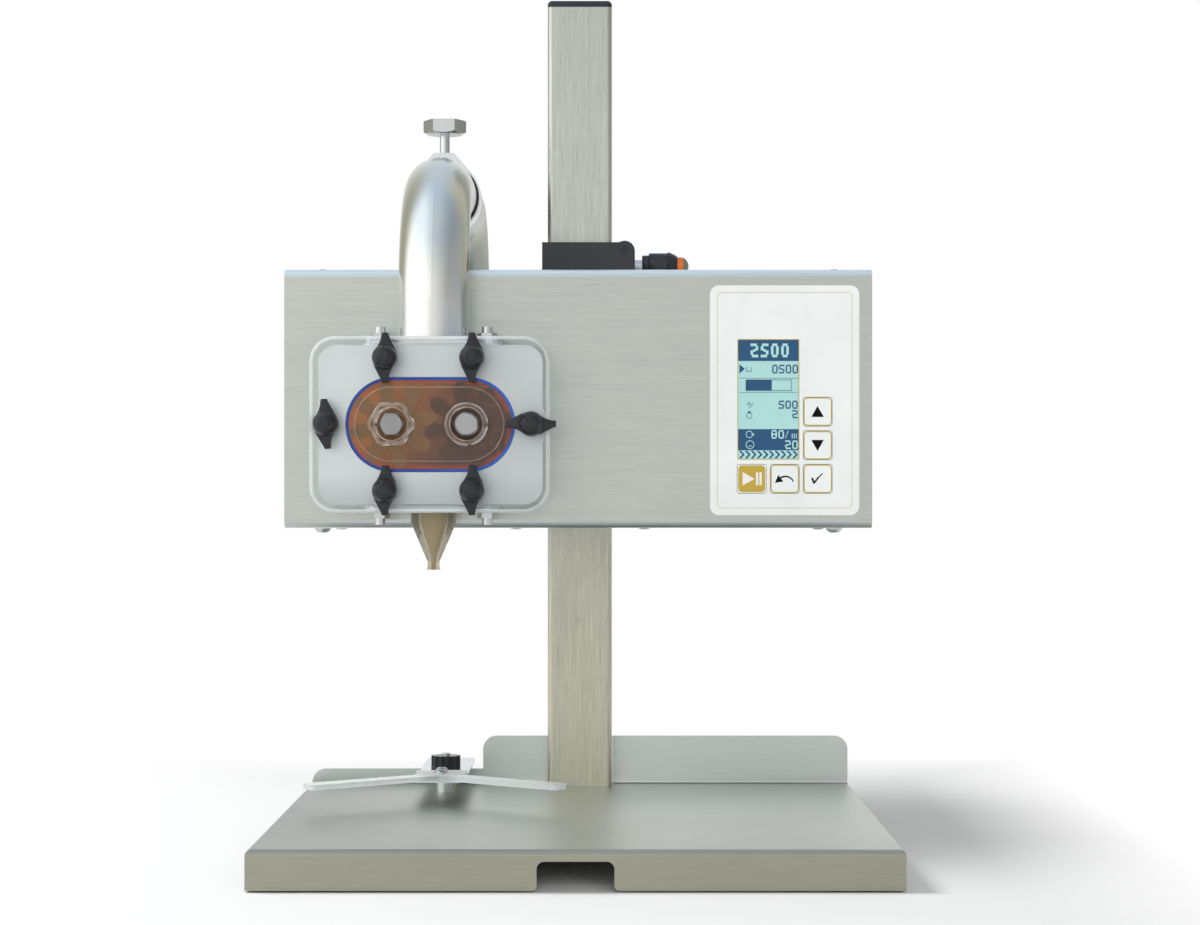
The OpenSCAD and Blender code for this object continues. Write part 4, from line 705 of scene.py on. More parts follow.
class FILLER_OT_cover(bpy.types.Operator):
    """Make the pump's clear cover, with its raised window and the two domes over the shafts"""

    bl_idname = "filler.cover"
    bl_label = "Clear cover"

    # Rings of millimetres: radius, distance out of the cover's front
    six_sided = [(13.7, -2.2), (13.7, 5.0), (13.3, 6.2), (12.4, 7.3), (11.2, 8.0), (10.6, 8.0)]
    round_one = [(12.0, -2.2), (12.0, 5.6), (11.75, 6.6), (11.2, 7.4), (10.4, 7.9), (9.6, 8.0)]
    pocket = [(9.9, -20), (9.9, 5.2), (9.5, 5.8), (8.9, 6.0)]
    hole = [(3.3, -20), (3.3, 20)]

    def execute(self, context):
        rear = PUMP[0].y - COVER_GAP
        cover = slab("cover", COVER, (0, 0), COVER_FRONT, rear, COVER_CORNER, sizes().cover_rim)
        grow = -2 * (WINDOW_INSET + SEAL_CORD)
        radius = (CHAMBER[1].z - CHAMBER[0].z + grow) / 2
        window = slab(
            "window", CHAMBER, (grow, grow), COVER_FRONT - sizes().window_rise,
            COVER_FRONT + 3 * MM, radius, sizes().window_rim, 24,
        )
        carve(cover, window, "UNION")
        for shaft, profile, sides in zip(SHAFTS, (self.six_sided, self.round_one), (6, 64)):
            foot = (shaft.x, COVER_FRONT, shaft.z)
            dome = turned("dome", profile, foot, FRONT, sides, math.radians(30) if sides == 6 else 0)
            if sides == 6:
                with shaping(dome):
                    pick("EDGE", lambda e: runs_along(e, Y))
                    bpy.ops.mesh.bevel(offset=HEXAGON_EDGE, segments=6, affect="EDGES")
            carve(cover, dome, "UNION")
            carve(cover, turned("pocket", self.pocket, foot, FRONT))
        studs = [extent(name)[2] for name in KNOBS]
        for stud in studs:
            carve(cover, turned("hole", self.hole, (stud.x, COVER_FRONT, stud.z), FRONT, 32))
        dress(smooth(cover, 35), "head", "clear_plastic", "pump_cover")
        # painted highlights: milky white round the rim, and a warm milky line on the window's step and the
        # domes' shoulders
        for finish in (
            milky("cover_rim", (0.95, 0.97, 0.97), 0.6, 1.3, 0.12),
            see_through("dome_plastic", (0.96, 0.96, 0.97), 0.03, 1.2),
            milky("window_line", (0.86, 0.78, 0.70), 0.82, 1.25, 0.12),
        ):
            cover.data.materials.append(finish)
        for face in cover.data.polygons:
            face.material_index = self.part(face, studs)
        return {"FINISHED"}

    def part(self, face, studs):
        """Which finish a face takes: the milky line, a painted highlight, follows the window and the domes'
        shoulders; the milky rim paints one round the edge.
        """
        _, high, mid = COVER
        at, slope = face.center, abs(face.normal.y)

        def near(spots, reach):
            return any(math.hypot(at.x - spot.x, at.z - spot.z) < reach for spot in spots)

        if near(SHAFTS, DOME_REACH):
            if slope < FORWARD and at.y < COVER_FRONT - SHOULDER:
                return LINE_HIGHLIGHT
            return DOME if at.y < COVER_FRONT + 1 * MM else CLEAR
        if slope < SIDEWAYS:
            from_edge = min(high.x - mid.x - abs(at.x - mid.x), high.z - mid.z - abs(at.z - mid.z))
            return RIM_HIGHLIGHT if from_edge < RIM_REACH and not near(studs, HOLE_REACH) else CLEAR
        if slope < FORWARD:
            inside = CHAMBER[0].x < at.x < CHAMBER[1].x and CHAMBER[0].z < at.z < CHAMBER[1].z
            return LINE_HIGHLIGHT if inside else RIM_HIGHLIGHT
        return CLEAR


class FILLER_OT_honey(bpy.types.Operator):
    """Fill the chamber between the rotors' lobes and the nozzle's channel with honey"""

    bl_idname = "filler.honey"
    bl_label = "Honey"

    def execute(self, context):
        rotor = extent("drive_rotor")[0].y
        grow = -2 * SEAL_CORD - CLEARANCE
        radius = (CHAMBER[1].z - CHAMBER[0].z + grow) / 2
        fill = slab(
            "chamber_honey", CHAMBER, (grow, grow), rotor + CLEARANCE, rotor + 0.4 * MM, radius,
            steps=24,
        )
        for shaft in SHAFTS:
            carve(fill, turned("hole", [(8.6, -5), (8.6, 5)], (shaft.x, rotor, shaft.z), FRONT))
        dress(smooth(fill), "head", "rotor_plastic", finish=self.chamber_finish())
        tip, top, mid = NOZZLE
        tall = (top.z - tip.z) / MM
        thread = turned(
            "nozzle_honey", [(1.2, 0), (1.2, 6.5), (7.3, tall - 10.4), (7.3, tall - 1)],
            (mid.x, mid.y, tip.z + 0.4 * MM), UP, 40,
        )
        tan = moulded("nozzle_honey", (0.95, 0.885, 0.655), 0.4, 60, 0.1 * MM)
        dress(smooth(thread), "head", "nozzle_plastic", finish=tan)
        return {"FINISHED"}

    def chamber_finish(self):
        """Painted light and shade: amber where light falls at the left, brown at the right and towards the
        bottom; red along the wall.
        """
        low, high, mid = CHAMBER
        light, dark, red = tone_of("honey_lit"), tone_of("honey_shaded"), (0.42, 0.055, 0.012)
        recipe = Recipe("chamber_honey", light, Roughness=0.16, Specular_IOR_Level=0.3)
        x, _, z = recipe.split(recipe.place)
        clouds = recipe.noise((60,) * 3, 3.0)
        # painted light at the left, painted shade at the right
        share = recipe.band(x, low.x, low.x + 0.72 * (high.x - low.x), -0.1, 1.0)
        # painted shade towards the bottom
        share = recipe.math("ADD", share, recipe.band(z, low.z, high.z, 0.22, -0.22))
        share = recipe.math("ADD", share, recipe.band(clouds, 0.3, 0.7, -0.08, 0.08))
        tone = recipe.blend(share, light, dark)
        radius = (high.z - low.z) / 2
        along = recipe.math("ABSOLUTE", recipe.math("SUBTRACT", x, mid.x))
        along = recipe.math("SUBTRACT", along, (high.x - low.x) / 2 - radius)
        along = recipe.math("MAXIMUM", along, 0.0)
        across = recipe.math("SUBTRACT", z, mid.z)
        reach = recipe.math(
            "SQRT",
            recipe.math("ADD", recipe.math("POWER", along, 2.0), recipe.math("MULTIPLY", across, across)),
        )
        edge = recipe.band(reach, radius - 4.6 * MM, radius - 3.0 * MM, 0.0, 0.75)
        edge = recipe.math("MULTIPLY", edge, recipe.band(clouds, 0.35, 0.6, 0.35, 1.0))
        recipe.set(recipe.shader, Base_Color=recipe.blend(edge, tone, red))
        return recipe.finish


class FILLER_OT_knobs(bpy.types.Operator):
    """Mould one wing knob and copy it onto the six studs"""

    bl_idname = "filler.knobs"
    bl_label = "Wing knobs"

    def execute(self, context):
        profile = [
            (6.2, 0), (6.3, 0.3), (6.3, 2.7), (6.9, 3.1), (6.95, 4), (6.95, 10.6), (6.8, 12.2),
            (6.35, 13.8), (5.6, 15.2), (4.6, 16.4), (3.9, 17.0), (3.4, 17.1), (3.1, 17.2),
            (2.95, 17.7), (2.7, 18.0), (0.6, 18.0),
        ]
        knob = turned("knob", profile, (0, 0, 0), UP, 48)
        for turn in (0, math.pi):
            wing = self.wing()
            wing.data.transform(Matrix.Rotation(turn, 4, "Z"))
            carve(knob, wing, "UNION")
        carve(knob, turned("bore", [(3.05, -1), (3.05, 11.5)], (0, 0, 0), UP, 32))
        smooth(knob, 40)
        for name, turn in KNOBS.items():
            _, high, mid = extent(name)
            place = (
                Matrix.Translation((mid.x, high.y, mid.z))
                @ Matrix.Rotation(math.radians(90), 4, "X")
                @ Matrix.Rotation(math.radians(turn), 4, "Z")
            )
            dress(copied(knob, name.replace("knob", "wing_knob"), place), name, "black_plastic", name)
        bpy.data.objects.remove(knob)
        return {"FINISHED"}

    def wing(self):
        """Tapering wing towards +Y, hollow on its left side, drawn out of a block step by step."""
        stations = [  # distance, left, right, low, high
            (0.0, -6.4, 6.4, 3.0, 10.8), (3.0, -6.1, 6.3, 3.0, 10.7), (5.2, -4.6, 5.6, 3.0, 10.4),
            (7.6, -3.1, 4.4, 3.1, 9.9), (10.4, -2.1, 3.0, 3.3, 9.3), (12.6, -1.8, 1.95, 3.5, 8.8),
            (13.8, -1.75, 1.75, 3.7, 8.5),
        ]
        _, left, right, low, high = scaled(stations)[0]
        wing = block("wing", (left, -0.5 * MM, low), (right, 0, high))
        spans = [
            (Vector(((left + right) / 2, run, (low + high) / 2)), right - left, high - low)
            for run, left, right, low, high in scaled(stations)
        ]
        with shaping(wing):
            pick("FACE", lambda f: f.normal.y > FORWARD)
            for (before, wide, tall), (after, wider, taller) in zip(spans, spans[1:]):
                bpy.ops.mesh.extrude_region_move(TRANSFORM_OT_translate={"value": after - before})
                bpy.ops.transform.resize(
                    value=(wider / wide, 1, taller / tall), center_override=after
                )
        return apply(
            wing, "BEVEL", width=0.55 * MM, segments=3, limit_method="ANGLE",
            angle_limit=math.radians(50), harden_normals=False,
        )


# Control panel


class Sheet:
    """Flat signs on one plane, in millimetres from its middle, then raised a little to the front."""

    def __init__(self, name, middle, level):
        self.origin, self.level = middle, level
        lone()
        bpy.ops.mesh.primitive_plane_add(size=1 * MM, location=(0, level, 0))
        self.piece = settle(name)
        bpy.ops.object.mode_set(mode="EDIT")
        bpy.ops.mesh.select_all(action="SELECT")
        bpy.ops.mesh.delete(type="VERT")

    def spot(self, x, z):
        return Vector((self.origin.x + x * MM, self.level, self.origin.z + z * MM))

    def turn(self, angle, centre):
        bpy.ops.transform.rotate(value=angle, orient_axis="Y", center_override=centre)

    def bar(self, x0, z0, x1, z1):
        """Level bar between two corners."""
        self.stroke(x0, (z0 + z1) / 2, x1, (z0 + z1) / 2, z1 - z0)

    def stroke(self, x0, z0, x1, z1, thick):
        """Straight stroke between two points."""
        run, rise = x1 - x0, z1 - z0
        middle = self.spot((x0 + x1) / 2, (z0 + z1) / 2)
        bpy.ops.mesh.primitive_plane_add(size=1, location=middle, rotation=UPRIGHT)
        bpy.ops.transform.resize(
            value=(math.hypot(run, rise) * MM, 1, thick * MM), center_override=middle
        )
        if rise:
            self.turn(math.atan2(rise, run), middle)

    def triangle(self, x, z, width, height, degrees):
        """Triangle whose tip points up, turned by so many degrees anticlockwise."""
        third = self.spot(x, z - height / 6)
        bpy.ops.mesh.primitive_circle_add(
            vertices=3, radius=1, fill_type="NGON", location=third, rotation=UPRIGHT
        )
        wide, tall = 1.732, 1.5  # of a triangle of radius 1
        bpy.ops.transform.resize(
            value=(width * MM / wide, 1, height * MM / tall), center_override=third
        )
        self.turn(math.radians(degrees), self.spot(x, z))

    def ring(self, x, z, radius, thick):
        """Thin ring."""
        bpy.ops.mesh.primitive_circle_add(
            vertices=24, radius=(radius - thick) * MM, location=self.spot(x, z), rotation=UPRIGHT
        )
        bpy.ops.mesh.extrude_edges_move(TRANSFORM_OT_translate={"value": (0, 0, 0)})
        ratio = radius / (radius - thick)
        bpy.ops.transform.resize(value=(ratio, 1, ratio), center_override=self.spot(x, z))

    def frame(self, x, z, width, height, thick):
        """Square-cornered outline."""
        right, top = x + width / 2, z + height / 2
        left, low = x - width / 2, z - height / 2
        for corners in (
            (left, low, right, low + thick), (left, top - thick, right, top),
            (left, low + thick, left + thick, top - thick), (right - thick, low + thick, right, top - thick),
        ):
            self.bar(*corners)

    def number(self, figures, right, z, high, wide, thick):
        """Plain figures in bars, with cut corners, the last one ending at right."""
        top, side = high - thick, wide - thick
        bars = {
            "a": (0, top, wide, high), "d": (0, 0, wide, thick),
            "g": (thick, (high - thick) / 2, side, (high + thick) / 2),
            "f": (0, high / 2, thick, top), "b": (side, high / 2, wide, top),
            "e": (0, thick, thick, high / 2), "c": (side, thick, wide, high / 2),
        }
        lit = {
            "0": "abcdef", "1": "bc", "2": "abged", "3": "abgcd", "4": "fgbc", "5": "afgcd",
            "6": "afgedc", "7": "abc", "8": "abcdefg", "9": "abfgcd",
        }
        ends = {"a": "fb", "d": "ec"}
        pitch = wide + thick * 0.9
        for place, figure in enumerate(reversed(figures)):
            x = right - wide - place * pitch
            for bar in lit[figure]:
                x0, z0, x1, z1 = bars[bar]
                if bar in ends:
                    x0 += thick / 2 * (ends[bar][0] in lit[figure])
                    x1 -= thick / 2 * (ends[bar][1] in lit[figure])
                self.bar(x + x0, z + z0, x + x1, z + z1)

    def done(self, body, slot, finish=None):
        """Turns every face to the front, gives the signs their height and dresses them."""
        bpy.ops.mesh.select_all(action="SELECT")
        shape = bmesh.from_edit_mesh(self.piece.data)
        for face in shape.faces:
            face.normal_update()
            face.select_set(face.normal.y > 0)
        bmesh.update_edit_mesh(self.piece.data)
        bpy.ops.mesh.flip_normals()
        bpy.ops.object.mode_set(mode="OBJECT")
        apply(self.piece, "SOLIDIFY", thickness=sizes().print_height, offset=1.0)
        return dress(self.piece, body, slot, finish=finish)


def outline(name, place, grow, corner, thick, level):
    """Rounded rectangular line round a place: a rounded plate with its middle taken out."""
    raised = sizes().print_height
    piece = slab(name, place, grow, level - raised, level, corner, steps=8)
    inner = slab(
        "inner", place, [size - 2 * thick for size in grow], level - 2 * raised - 1 * MM,
        level + 1 * MM, max(corner - thick, CLEARANCE), steps=8,
    )
    return carve(piece, inner)


class FILLER_OT_panel_print(bpy.types.Operator):
    """Print the panel's thin gold border and the line round the display"""

    bl_idname = "filler.panel_print"
    bl_label = "Panel lines"

    def execute(self, context):
        level = PANEL[0].y
        grow = (-8.2 * MM, -8.0 * MM)
        border = outline("panel_border", PANEL, grow, 2.6 * MM, sizes().border_line, level)
        pale = moulded("pale_gold_print", (0.62, 0.52, 0.28), 0.4, 1300, 0.01 * MM)
        dress(border, "head", "key_gold", finish=pale)
        grow = (0.7 * MM, 0.7 * MM)
        line = outline("display_line", DISPLAY, grow, 0.35 * MM, sizes().display_line, level)
        dress(line, "head", "key_gold")
        return {"FINISHED"}


class FILLER_OT_display(bpy.types.Operator):
    """Draw the display's plain figures, bars and arrows"""

    bl_idname = "filler.display"
    bl_label = "Display"

    def execute(self, context):
        low, high, mid = DISPLAY
        margin = 0.1
        half_w, half_h = (high.x - mid.x) / MM - margin, (high.z - mid.z) / MM - margin
        dark = Sheet("display_dark", mid, low.y)
        top, foot = half_h - 12.2, -half_h + 5.0
        dark.bar(-half_w, top, half_w, half_h)
        dark.bar(-half_w, foot, half_w, -half_h + 17.2)
        dark.triangle(-half_w + 2.3, top - 4.6, 5.4, 3.1, 270)
        for x0, z0, x1, z1 in ((0, 0, 0.35, 2.6), (0, 0, 3, 0.35), (2.65, 0, 3, 2.6)):
            dark.bar(-half_w + 4.6 + x0, top - 6.2 + z0, -half_w + 4.6 + x1, top - 6.2 + z1)
        dark.number("0500", half_w - 0.3, top - 7.2, 5.0, 3.2, 0.8)
        dark.bar(-half_w + 0.6, top - 10.1, half_w - 0.6, top - 9.85)
        dark.bar(-half_w + 0.6, top - 18.2, half_w - 0.6, top - 17.95)
        dark.frame(0.2, top - 14.0, 26.6, 6.4, 0.3)
        dark.bar(-13.1, top - 17.2, 2.0, top - 10.8)
        dark.number("500", half_w - 0.5, top - 27.6, 4.7, 3.2, 0.8)
        dark.number("2", half_w - 0.5, top - 33.1, 4.7, 3.2, 0.8)
        dark.bar(-12.6, top - 25.0, -9.8, top - 24.7)
        dark.bar(-11.35, top - 26.2, -11.05, top - 23.5)
        dark.stroke(-11.2, top - 27.4, -8.4, top - 24.0, 0.3)
        dark.triangle(-11.0, top - 29.3, 2.2, 1.4, 0)
        dark.ring(-11.0, top - 31.6, 1.7, 0.32)
        pitch = 3.42
        for place in range(10):
            x = -half_w + 1.0 + place * pitch
            dark.stroke(x, foot - 0.35, x + 2.3, foot - 2.6, 0.95)
            dark.stroke(x, -half_h + 0.35, x + 2.3, -half_h + 2.6, 0.95)
        dark.done("head", "display_glass", self.dotted_ink())
        light = Sheet("display_light", mid, low.y - sizes().print_height)
        light.number("2500", half_w - 5.6, half_h - 10.1, 8.0, 4.5, 1.55)
        light.number("80", half_w - 8.4, foot + 6.7, 5.0, 3.3, 0.85)
        light.number("20", half_w - 0.4, foot + 0.7, 5.0, 3.3, 0.85)
        light.stroke(half_w - 7.6, foot + 6.9, half_w - 5.9, foot + 11.4, 0.4)
        for x in (-3.9, -2.7, -1.5):
            light.bar(half_w + x, foot + 6.9, half_w + x + 0.5, foot + 9.6)
        light.ring(-11.0, foot + 9.2, 2.1, 0.4)
        light.triangle(-9.0, foot + 8.8, 2.2, 1.5, 180)
        light.ring(-10.6, foot + 3.2, 2.5, 0.4)
        light.bar(-11.8, foot + 2.2, -9.4, foot + 2.6)
        light.done("head", "display_glass")
        return {"FINISHED"}

    def dotted_ink(self):
        """Dark dots with a paler lattice between them."""
        ink, pitch = tone_of("ink"), 0.55 * MM
        recipe = Recipe("display_ink", ink, Roughness=0.35, Specular_IOR_Level=0.2)
        x, _, z = recipe.split(recipe.place)
        waves = [
            recipe.math("SINE", recipe.math("MULTIPLY", way, 2 * math.pi / pitch)) for way in (x, z)
        ]
        lattice = recipe.band(recipe.math("MAXIMUM", *waves), 0.55, 1.0)
        recipe.set(recipe.shader, Base_Color=recipe.blend(lattice, ink, shade(ink, 1.7)))
        return recipe.finish


class FILLER_OT_key_signs(bpy.types.Operator):
    """Print the outlines and the signs of the five keys"""

    bl_idname = "filler.key_signs"
    bl_label = "Key signs"

    def execute(self, context):
        raised = sizes().print_height
        flat = {"rough": 0.5, "waves": 1300, "depth": 0.01 * MM, "Specular_IOR_Level": 0.1}
        black = moulded("sign_black", (0.003, 0.003, 0.003), **flat)
        white = moulded("sign_white", (0.88, 0.88, 0.86), **flat)
        for name in KEYS:
            key = extent(name)
            level, mid = key[0].y, key[2]
            if name == "key_start":
                FRAME["nodes"][name].material_slots[0].material = FINISHES["key_white"]
                grow = (-1 * MM, -1 * MM)
                field = slab(name + "_field", key, grow, level - raised, level, 2.2 * MM, steps=8)
                dress(field, name, "key_gold")
                level -= raised
            else:
                grow = (-0.1 * MM, -0.1 * MM)
                line = outline(name + "_line", key, grow, 2.5 * MM, sizes().key_line, level)
                dress(line, name, "key_gold")
            sign = Sheet(name + "_sign", mid, level)
            getattr(self, name)(sign)
            sign.done(name, "key_white", white if name == "key_start" else black)
        return {"FINISHED"}

    def key_up(self, sign):
        sign.triangle(-0.1, 0.1, 7.2, 6.3, 0)

    def key_down(self, sign):
        sign.triangle(-0.1, -0.1, 7.2, 6.3, 180)

    def key_start(self, sign):
        sign.triangle(-1.9, 0, 7.8, 6.9, 270)
        sign.bar(2.4, -3.7, 3.7, 3.7)
        sign.bar(4.4, -3.7, 5.7, 3.7)

    def key_back(self, sign):
        """Arc that grows thicker towards its arrowhead."""
        start, sweep, steps = 14, 128, 10
        angles = [math.radians(start + step * sweep / steps) for step in range(steps + 1)]
        points = [(0.4 + 4.6 * math.cos(angle), -2.6 + 4.0 * math.sin(angle)) for angle in angles]
        for step, (before, after) in enumerate(zip(points, points[1:])):
            sign.stroke(*before, *after, 0.7 + 0.04 * step)
        sign.triangle(-4.0, -1.0, 4.8, 4.3, 128)

    def key_confirm(self, sign):
        sign.stroke(-3.3, 0.5, -2.0, -2.6, 1.15)
        sign.stroke(-2.2, -2.6, 0.4, 0.9, 0.95)
        sign.stroke(0.2, 0.6, 2.9, 3.1, 0.62)


# Clamp lever


class FILLER_OT_lever(bpy.types.Operator):
    """Mould the clamp lever: a ridged hub and an arm that swells towards its end"""

    bl_idname = "filler.lever"
    bl_label = "Clamp lever"

    # Rings of millimetres: radius, distance from the hub's foot
    hub = [
        (6.6, 0), (6.8, 0.3), (6.8, 4.0), (8.0, 4.4), (8.2, 4.8), (8.2, 15.7), (8.7, 16.2),
        (8.85, 16.7), (8.5, 17.6), (7.7, 19.4), (6.6, 21.6), (6.1, 22.1), (5.8, 22.2),
    ]
    bores = [(4.1, -1), (4.1, 14)], [(5.79, 15), (5.79, 24)]
    ridge = [(8.5, 16.2), (8.72, 16.35), (8.72, 16.75), (8.5, 16.9)]
    ridge_bore = [(8.1, 10), (8.1, 24)]
    arm = [  # distance along the arm, distance from the hub's foot, radius
        (1.5, 11.5, 5.0), (7.0, 11.8, 5.0), (14, 12.8, 4.75), (24, 14.4, 4.3), (34, 16.0, 4.15),
        (44, 17.6, 4.5), (52, 18.9, 5.05), (58, 19.8, 5.4), (62, 20.4, 5.2), (64.6, 20.8, 4.2),
        (65.8, 21.0, 2.4), (66.0, 21.0, 0.5),
    ]

    def execute(self, context):
        low, high, _ = extent("clamp_lever")
        foot = Vector((low.x, *extent("clamp_stud")[2].yz))
        lever = turned("lever", self.hub, foot, RIGHT, 56)
        carve(lever, self.drawn_arm(foot, high.y - foot.y), "UNION")
        for bore in self.bores:
            carve(lever, turned("bore", bore, foot, RIGHT, 40))
        ridge = turned("lever_ridge", self.ridge, foot, RIGHT, 56)
        carve(ridge, turned("bore", self.ridge_bore, foot, RIGHT, 56))
        # painted highlight: a light metal ring on the black hub, where a highlight line runs round it
        worn = blasted("worn_ridge", (0.5, 0.5, 0.48))
        dress(smooth(ridge), "clamp_lever", "clear_plastic", finish=worn)
        dress(smooth(lever, 35), "clamp_lever", "black_metal", "clamp_lever")
        self.push_button()
        return {"FINISHED"}

    def drawn_arm(self, foot, reach):
        """Round arm towards +Y, drawn out ring by ring, then brought to its reach."""
        rings = [(foot + Vector((out, run, 0)), radius) for run, out, radius in scaled(self.arm)]
        arm = drawn("arm", rings, (X, Z), 24, UPRIGHT)
        with shaping(arm):
            bpy.ops.mesh.select_all(action="SELECT")
            stretch = reach / (self.arm[-1][0] * MM)
            bpy.ops.transform.resize(value=(1, stretch, 1), center_override=foot)
        return arm

    def push_button(self):
        """Orange button with a domed grey cap."""
        start, end, mid = extent("lever_button")
        foot, long = (start.x, mid.y, mid.z), (end.x - start.x) / MM
        button = [(5.5, 0), (5.62, 0.4), (5.62, long - 3.9), (5.4, long - 3.6)]
        button = turned("push_button", button, foot, RIGHT, 48)
        dress(smooth(button), "lever_button", "button_orange", "lever_button")
        cap = [
            (5.3, long - 3.65), (5.3, long - 3.2), (4.9, long - 2.4), (4.1, long - 1.5),
            (2.9, long - 0.7), (1.6, long - 0.2), (0.8, long),
        ]
        cap = turned("button_cap", cap, foot, RIGHT, 48)
        grey = moulded("grey_cap", (0.21, 0.21, 0.16), 0.35)
        dress(smooth(cap, 60), "lever_button", "button_orange", finish=grey)


# Stage


EYE = (0.0126, -1.518, 0.2074)  # metres
LENS_MM, SENSOR_MM, LENS_SHIFT = 76.89, 36.0, 0.0221
LAMPS = (  # name, place, width and height, watts
    ("key", (-1.15, 0.0, 1.45), (0.6, 0.6), 24),
    ("front", (0.3, -2.2, 0.8), (1.6, 1.0), 20),
)
LAMPS_AIM = (0, 0, 0.25)
FLOOR_WIDTH = 40
SHADE_MIDDLE = 0.02  # Y of the middle of the shaded floor
SHADE_DEPTH = 0.22  # from that middle
SHADE_ENDS = (1.35, 2.0)  # the floor turns white from one to the other, as multiples of the shade
WHITE = (1.0, 1.0, 1.0)
AMBIENT = (0.39, 0.39, 0.39)
COOL_SKY = (0.64, 0.75, 0.9)
DARK_CORNER = (0.42, 0.42, 0.36)
WARM_CORNER = (0.98, 0.96, 0.8)
# What metal mirrors, by direction: from, to, and the shares at both ends where they aren't 0 and 1
BRIGHT_LEFT = (-0.05, -0.42, 0.0, 0.72)
NOT_BEHIND = (0.0, 0.35, 1.0, 0.0)
DIM_RIGHT = (0.12, 0.75, 0.0, 0.52)
ASIDE = (0.2, 0.6)
BEHIND = (0.1, 0.45)
ABOVE = (0.3, 0.75)
LEFT_TO_RIGHT = (-0.1, 0.1)
SEEN_BEHIND = 0.3


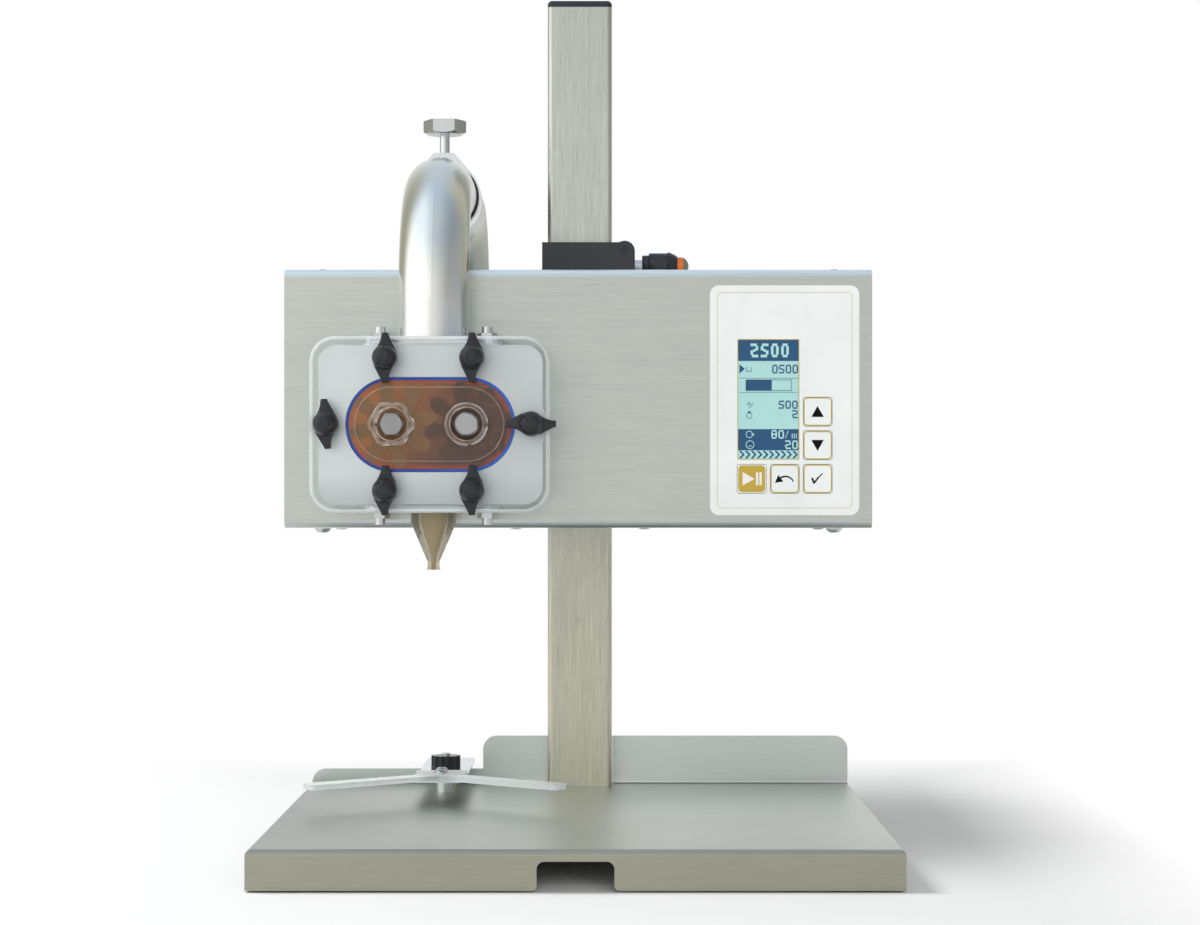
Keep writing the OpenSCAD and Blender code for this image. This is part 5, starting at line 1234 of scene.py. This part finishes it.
class FILLER_OT_stage(bpy.types.Operator):
    """Lay the pale floor, hang the soft lamps and set the camera"""

    bl_idname = "filler.stage"
    bl_label = "Stage"

    def execute(self, context):
        self.floor()
        self.world()
        self.lamps()
        self.camera()
        context.scene.view_settings.view_transform = "Standard"
        return {"FINISHED"}

    def floor(self):
        """White far from the machine, and shaded by it close by and under it."""
        lone()
        bpy.ops.mesh.primitive_grid_add(x_subdivisions=4, y_subdivisions=4, size=FLOOR_WIDTH)
        floor = bpy.context.active_object
        floor.name = "floor"
        recipe = Recipe("pale_floor", tone_of("floor"), Roughness=0.8)
        x, y, _ = recipe.split(recipe.place)
        beside = recipe.math("DIVIDE", recipe.math("ABSOLUTE", x), BASE[1].x)
        before = recipe.math("ABSOLUTE", recipe.math("SUBTRACT", y, SHADE_MIDDLE))
        before = recipe.math("DIVIDE", before, SHADE_DEPTH)
        glows = recipe.band(recipe.math("MAXIMUM", beside, before), *SHADE_ENDS)
        seen = recipe.rays("Camera", "Glossy", "Transmission")
        glow = recipe.node("Emission", Color=(*WHITE, 1), Strength=1.0)
        recipe.mixed(recipe.math("MULTIPLY", seen, glows), glow)
        floor.data.materials.append(recipe.finish)

    def world(self):
        """White round the machine; metal mirrors a bright left, a dim right and a cool sky."""
        world = bpy.data.worlds.new("studio")
        bpy.context.scene.world = world
        world.use_nodes = True
        studio = Nodes(world.node_tree)
        x, y, z = studio.split(studio.node("TexCoord").outputs["Generated"])
        left = studio.math("MULTIPLY", studio.band(x, *BRIGHT_LEFT), studio.band(y, *NOT_BEHIND))
        right = studio.band(x, *DIM_RIGHT)
        level = studio.math("SUBTRACT", studio.math("ADD", left, 1.0), right)
        aside = studio.band(studio.math("ABSOLUTE", x), *ASIDE)
        behind = studio.math("MULTIPLY", aside, studio.band(y, *BEHIND))
        tone = studio.blend(studio.band(z, *ABOVE), WHITE, COOL_SKY)
        back = studio.blend(studio.band(x, *LEFT_TO_RIGHT), DARK_CORNER, WARM_CORNER)
        tone = studio.blend(behind, tone, back)
        mirrored = studio.node("VectorMath", {"operation": "SCALE"}, _0=tone)
        studio.set(mirrored, Scale=level)
        shown = studio.blend(studio.rays("Glossy", "Transmission"), AMBIENT, mirrored.outputs[0])
        beyond = studio.math("GREATER_THAN", y, SEEN_BEHIND)
        beyond = studio.math("MULTIPLY", studio.rays("Transmission"), beyond)
        beyond = studio.math("MAXIMUM", studio.rays("Camera"), beyond)
        shown = studio.blend(beyond, shown, WHITE)
        studio.set(world.node_tree.nodes["Background"], Color=shown, Strength=1.0)

    def lamps(self):
        """Soft lamps that shade the machine; metal mirrors the studio instead of them."""
        for name, spot, size, power in LAMPS:
            lamp = bpy.data.lights.new(name, "AREA")
            lamp.shape = "RECTANGLE"
            lamp.size, lamp.size_y = size
            lamp.energy = power
            aim = Vector(LAMPS_AIM) - Vector(spot)
            holder = self.hung(lamp, spot, aim.to_track_quat("-Z", "Y").to_euler())
            holder.visible_glossy = holder.visible_transmission = False

    def camera(self):
        """The eye is level, square to the machine's front, 1.52 m before its middle."""
        camera = bpy.data.cameras.new("camera")
        camera.sensor_width = SENSOR_MM
        camera.lens = LENS_MM
        camera.shift_y = LENS_SHIFT
        camera.clip_start, camera.clip_end = 0.05, 60
        bpy.context.scene.camera = self.hung(camera, EYE, UPRIGHT)

    def hung(self, thing, spot, turn):
        """A lamp or camera in its place."""
        holder = bpy.data.objects.new(thing.name, thing)
        bpy.context.scene.collection.objects.link(holder)
        holder.location = spot
        holder.rotation_euler = turn
        return holder


# Add-on


class FILLER_PT_panel(bpy.types.Panel):
    """Buttons that dress the machine, step by step"""

    bl_idname = "FILLER_PT_panel"
    bl_label = "Honey Filler"
    bl_space_type = "VIEW_3D"
    bl_region_type = "UI"
    bl_category = "Filler"

    def draw(self, context):
        for step in STEPS:
            self.layout.operator(step.bl_idname)


STEPS = (
    FILLER_OT_stage, FILLER_OT_finishes, FILLER_OT_cover, FILLER_OT_honey, FILLER_OT_knobs,
    FILLER_OT_panel_print, FILLER_OT_display, FILLER_OT_key_signs, FILLER_OT_lever,
)
CLASSES = (FillerColours, FillerSizes, *STEPS, FILLER_PT_panel)


def register():
    for item in CLASSES:
        bpy.utils.register_class(item)
    bpy.types.Scene.filler_colours = bpy.props.PointerProperty(type=FillerColours)
    bpy.types.Scene.filler_sizes = bpy.props.PointerProperty(type=FillerSizes)


def unregister():
    del bpy.types.Scene.filler_sizes
    del bpy.types.Scene.filler_colours
    for item in reversed(CLASSES):
        bpy.utils.unregister_class(item)


def main():
    register()
    for step in STEPS:
        family, verb = step.bl_idname.split(".")
        getattr(getattr(bpy.ops, family), verb)()


if __name__ == "__main__":
    main()
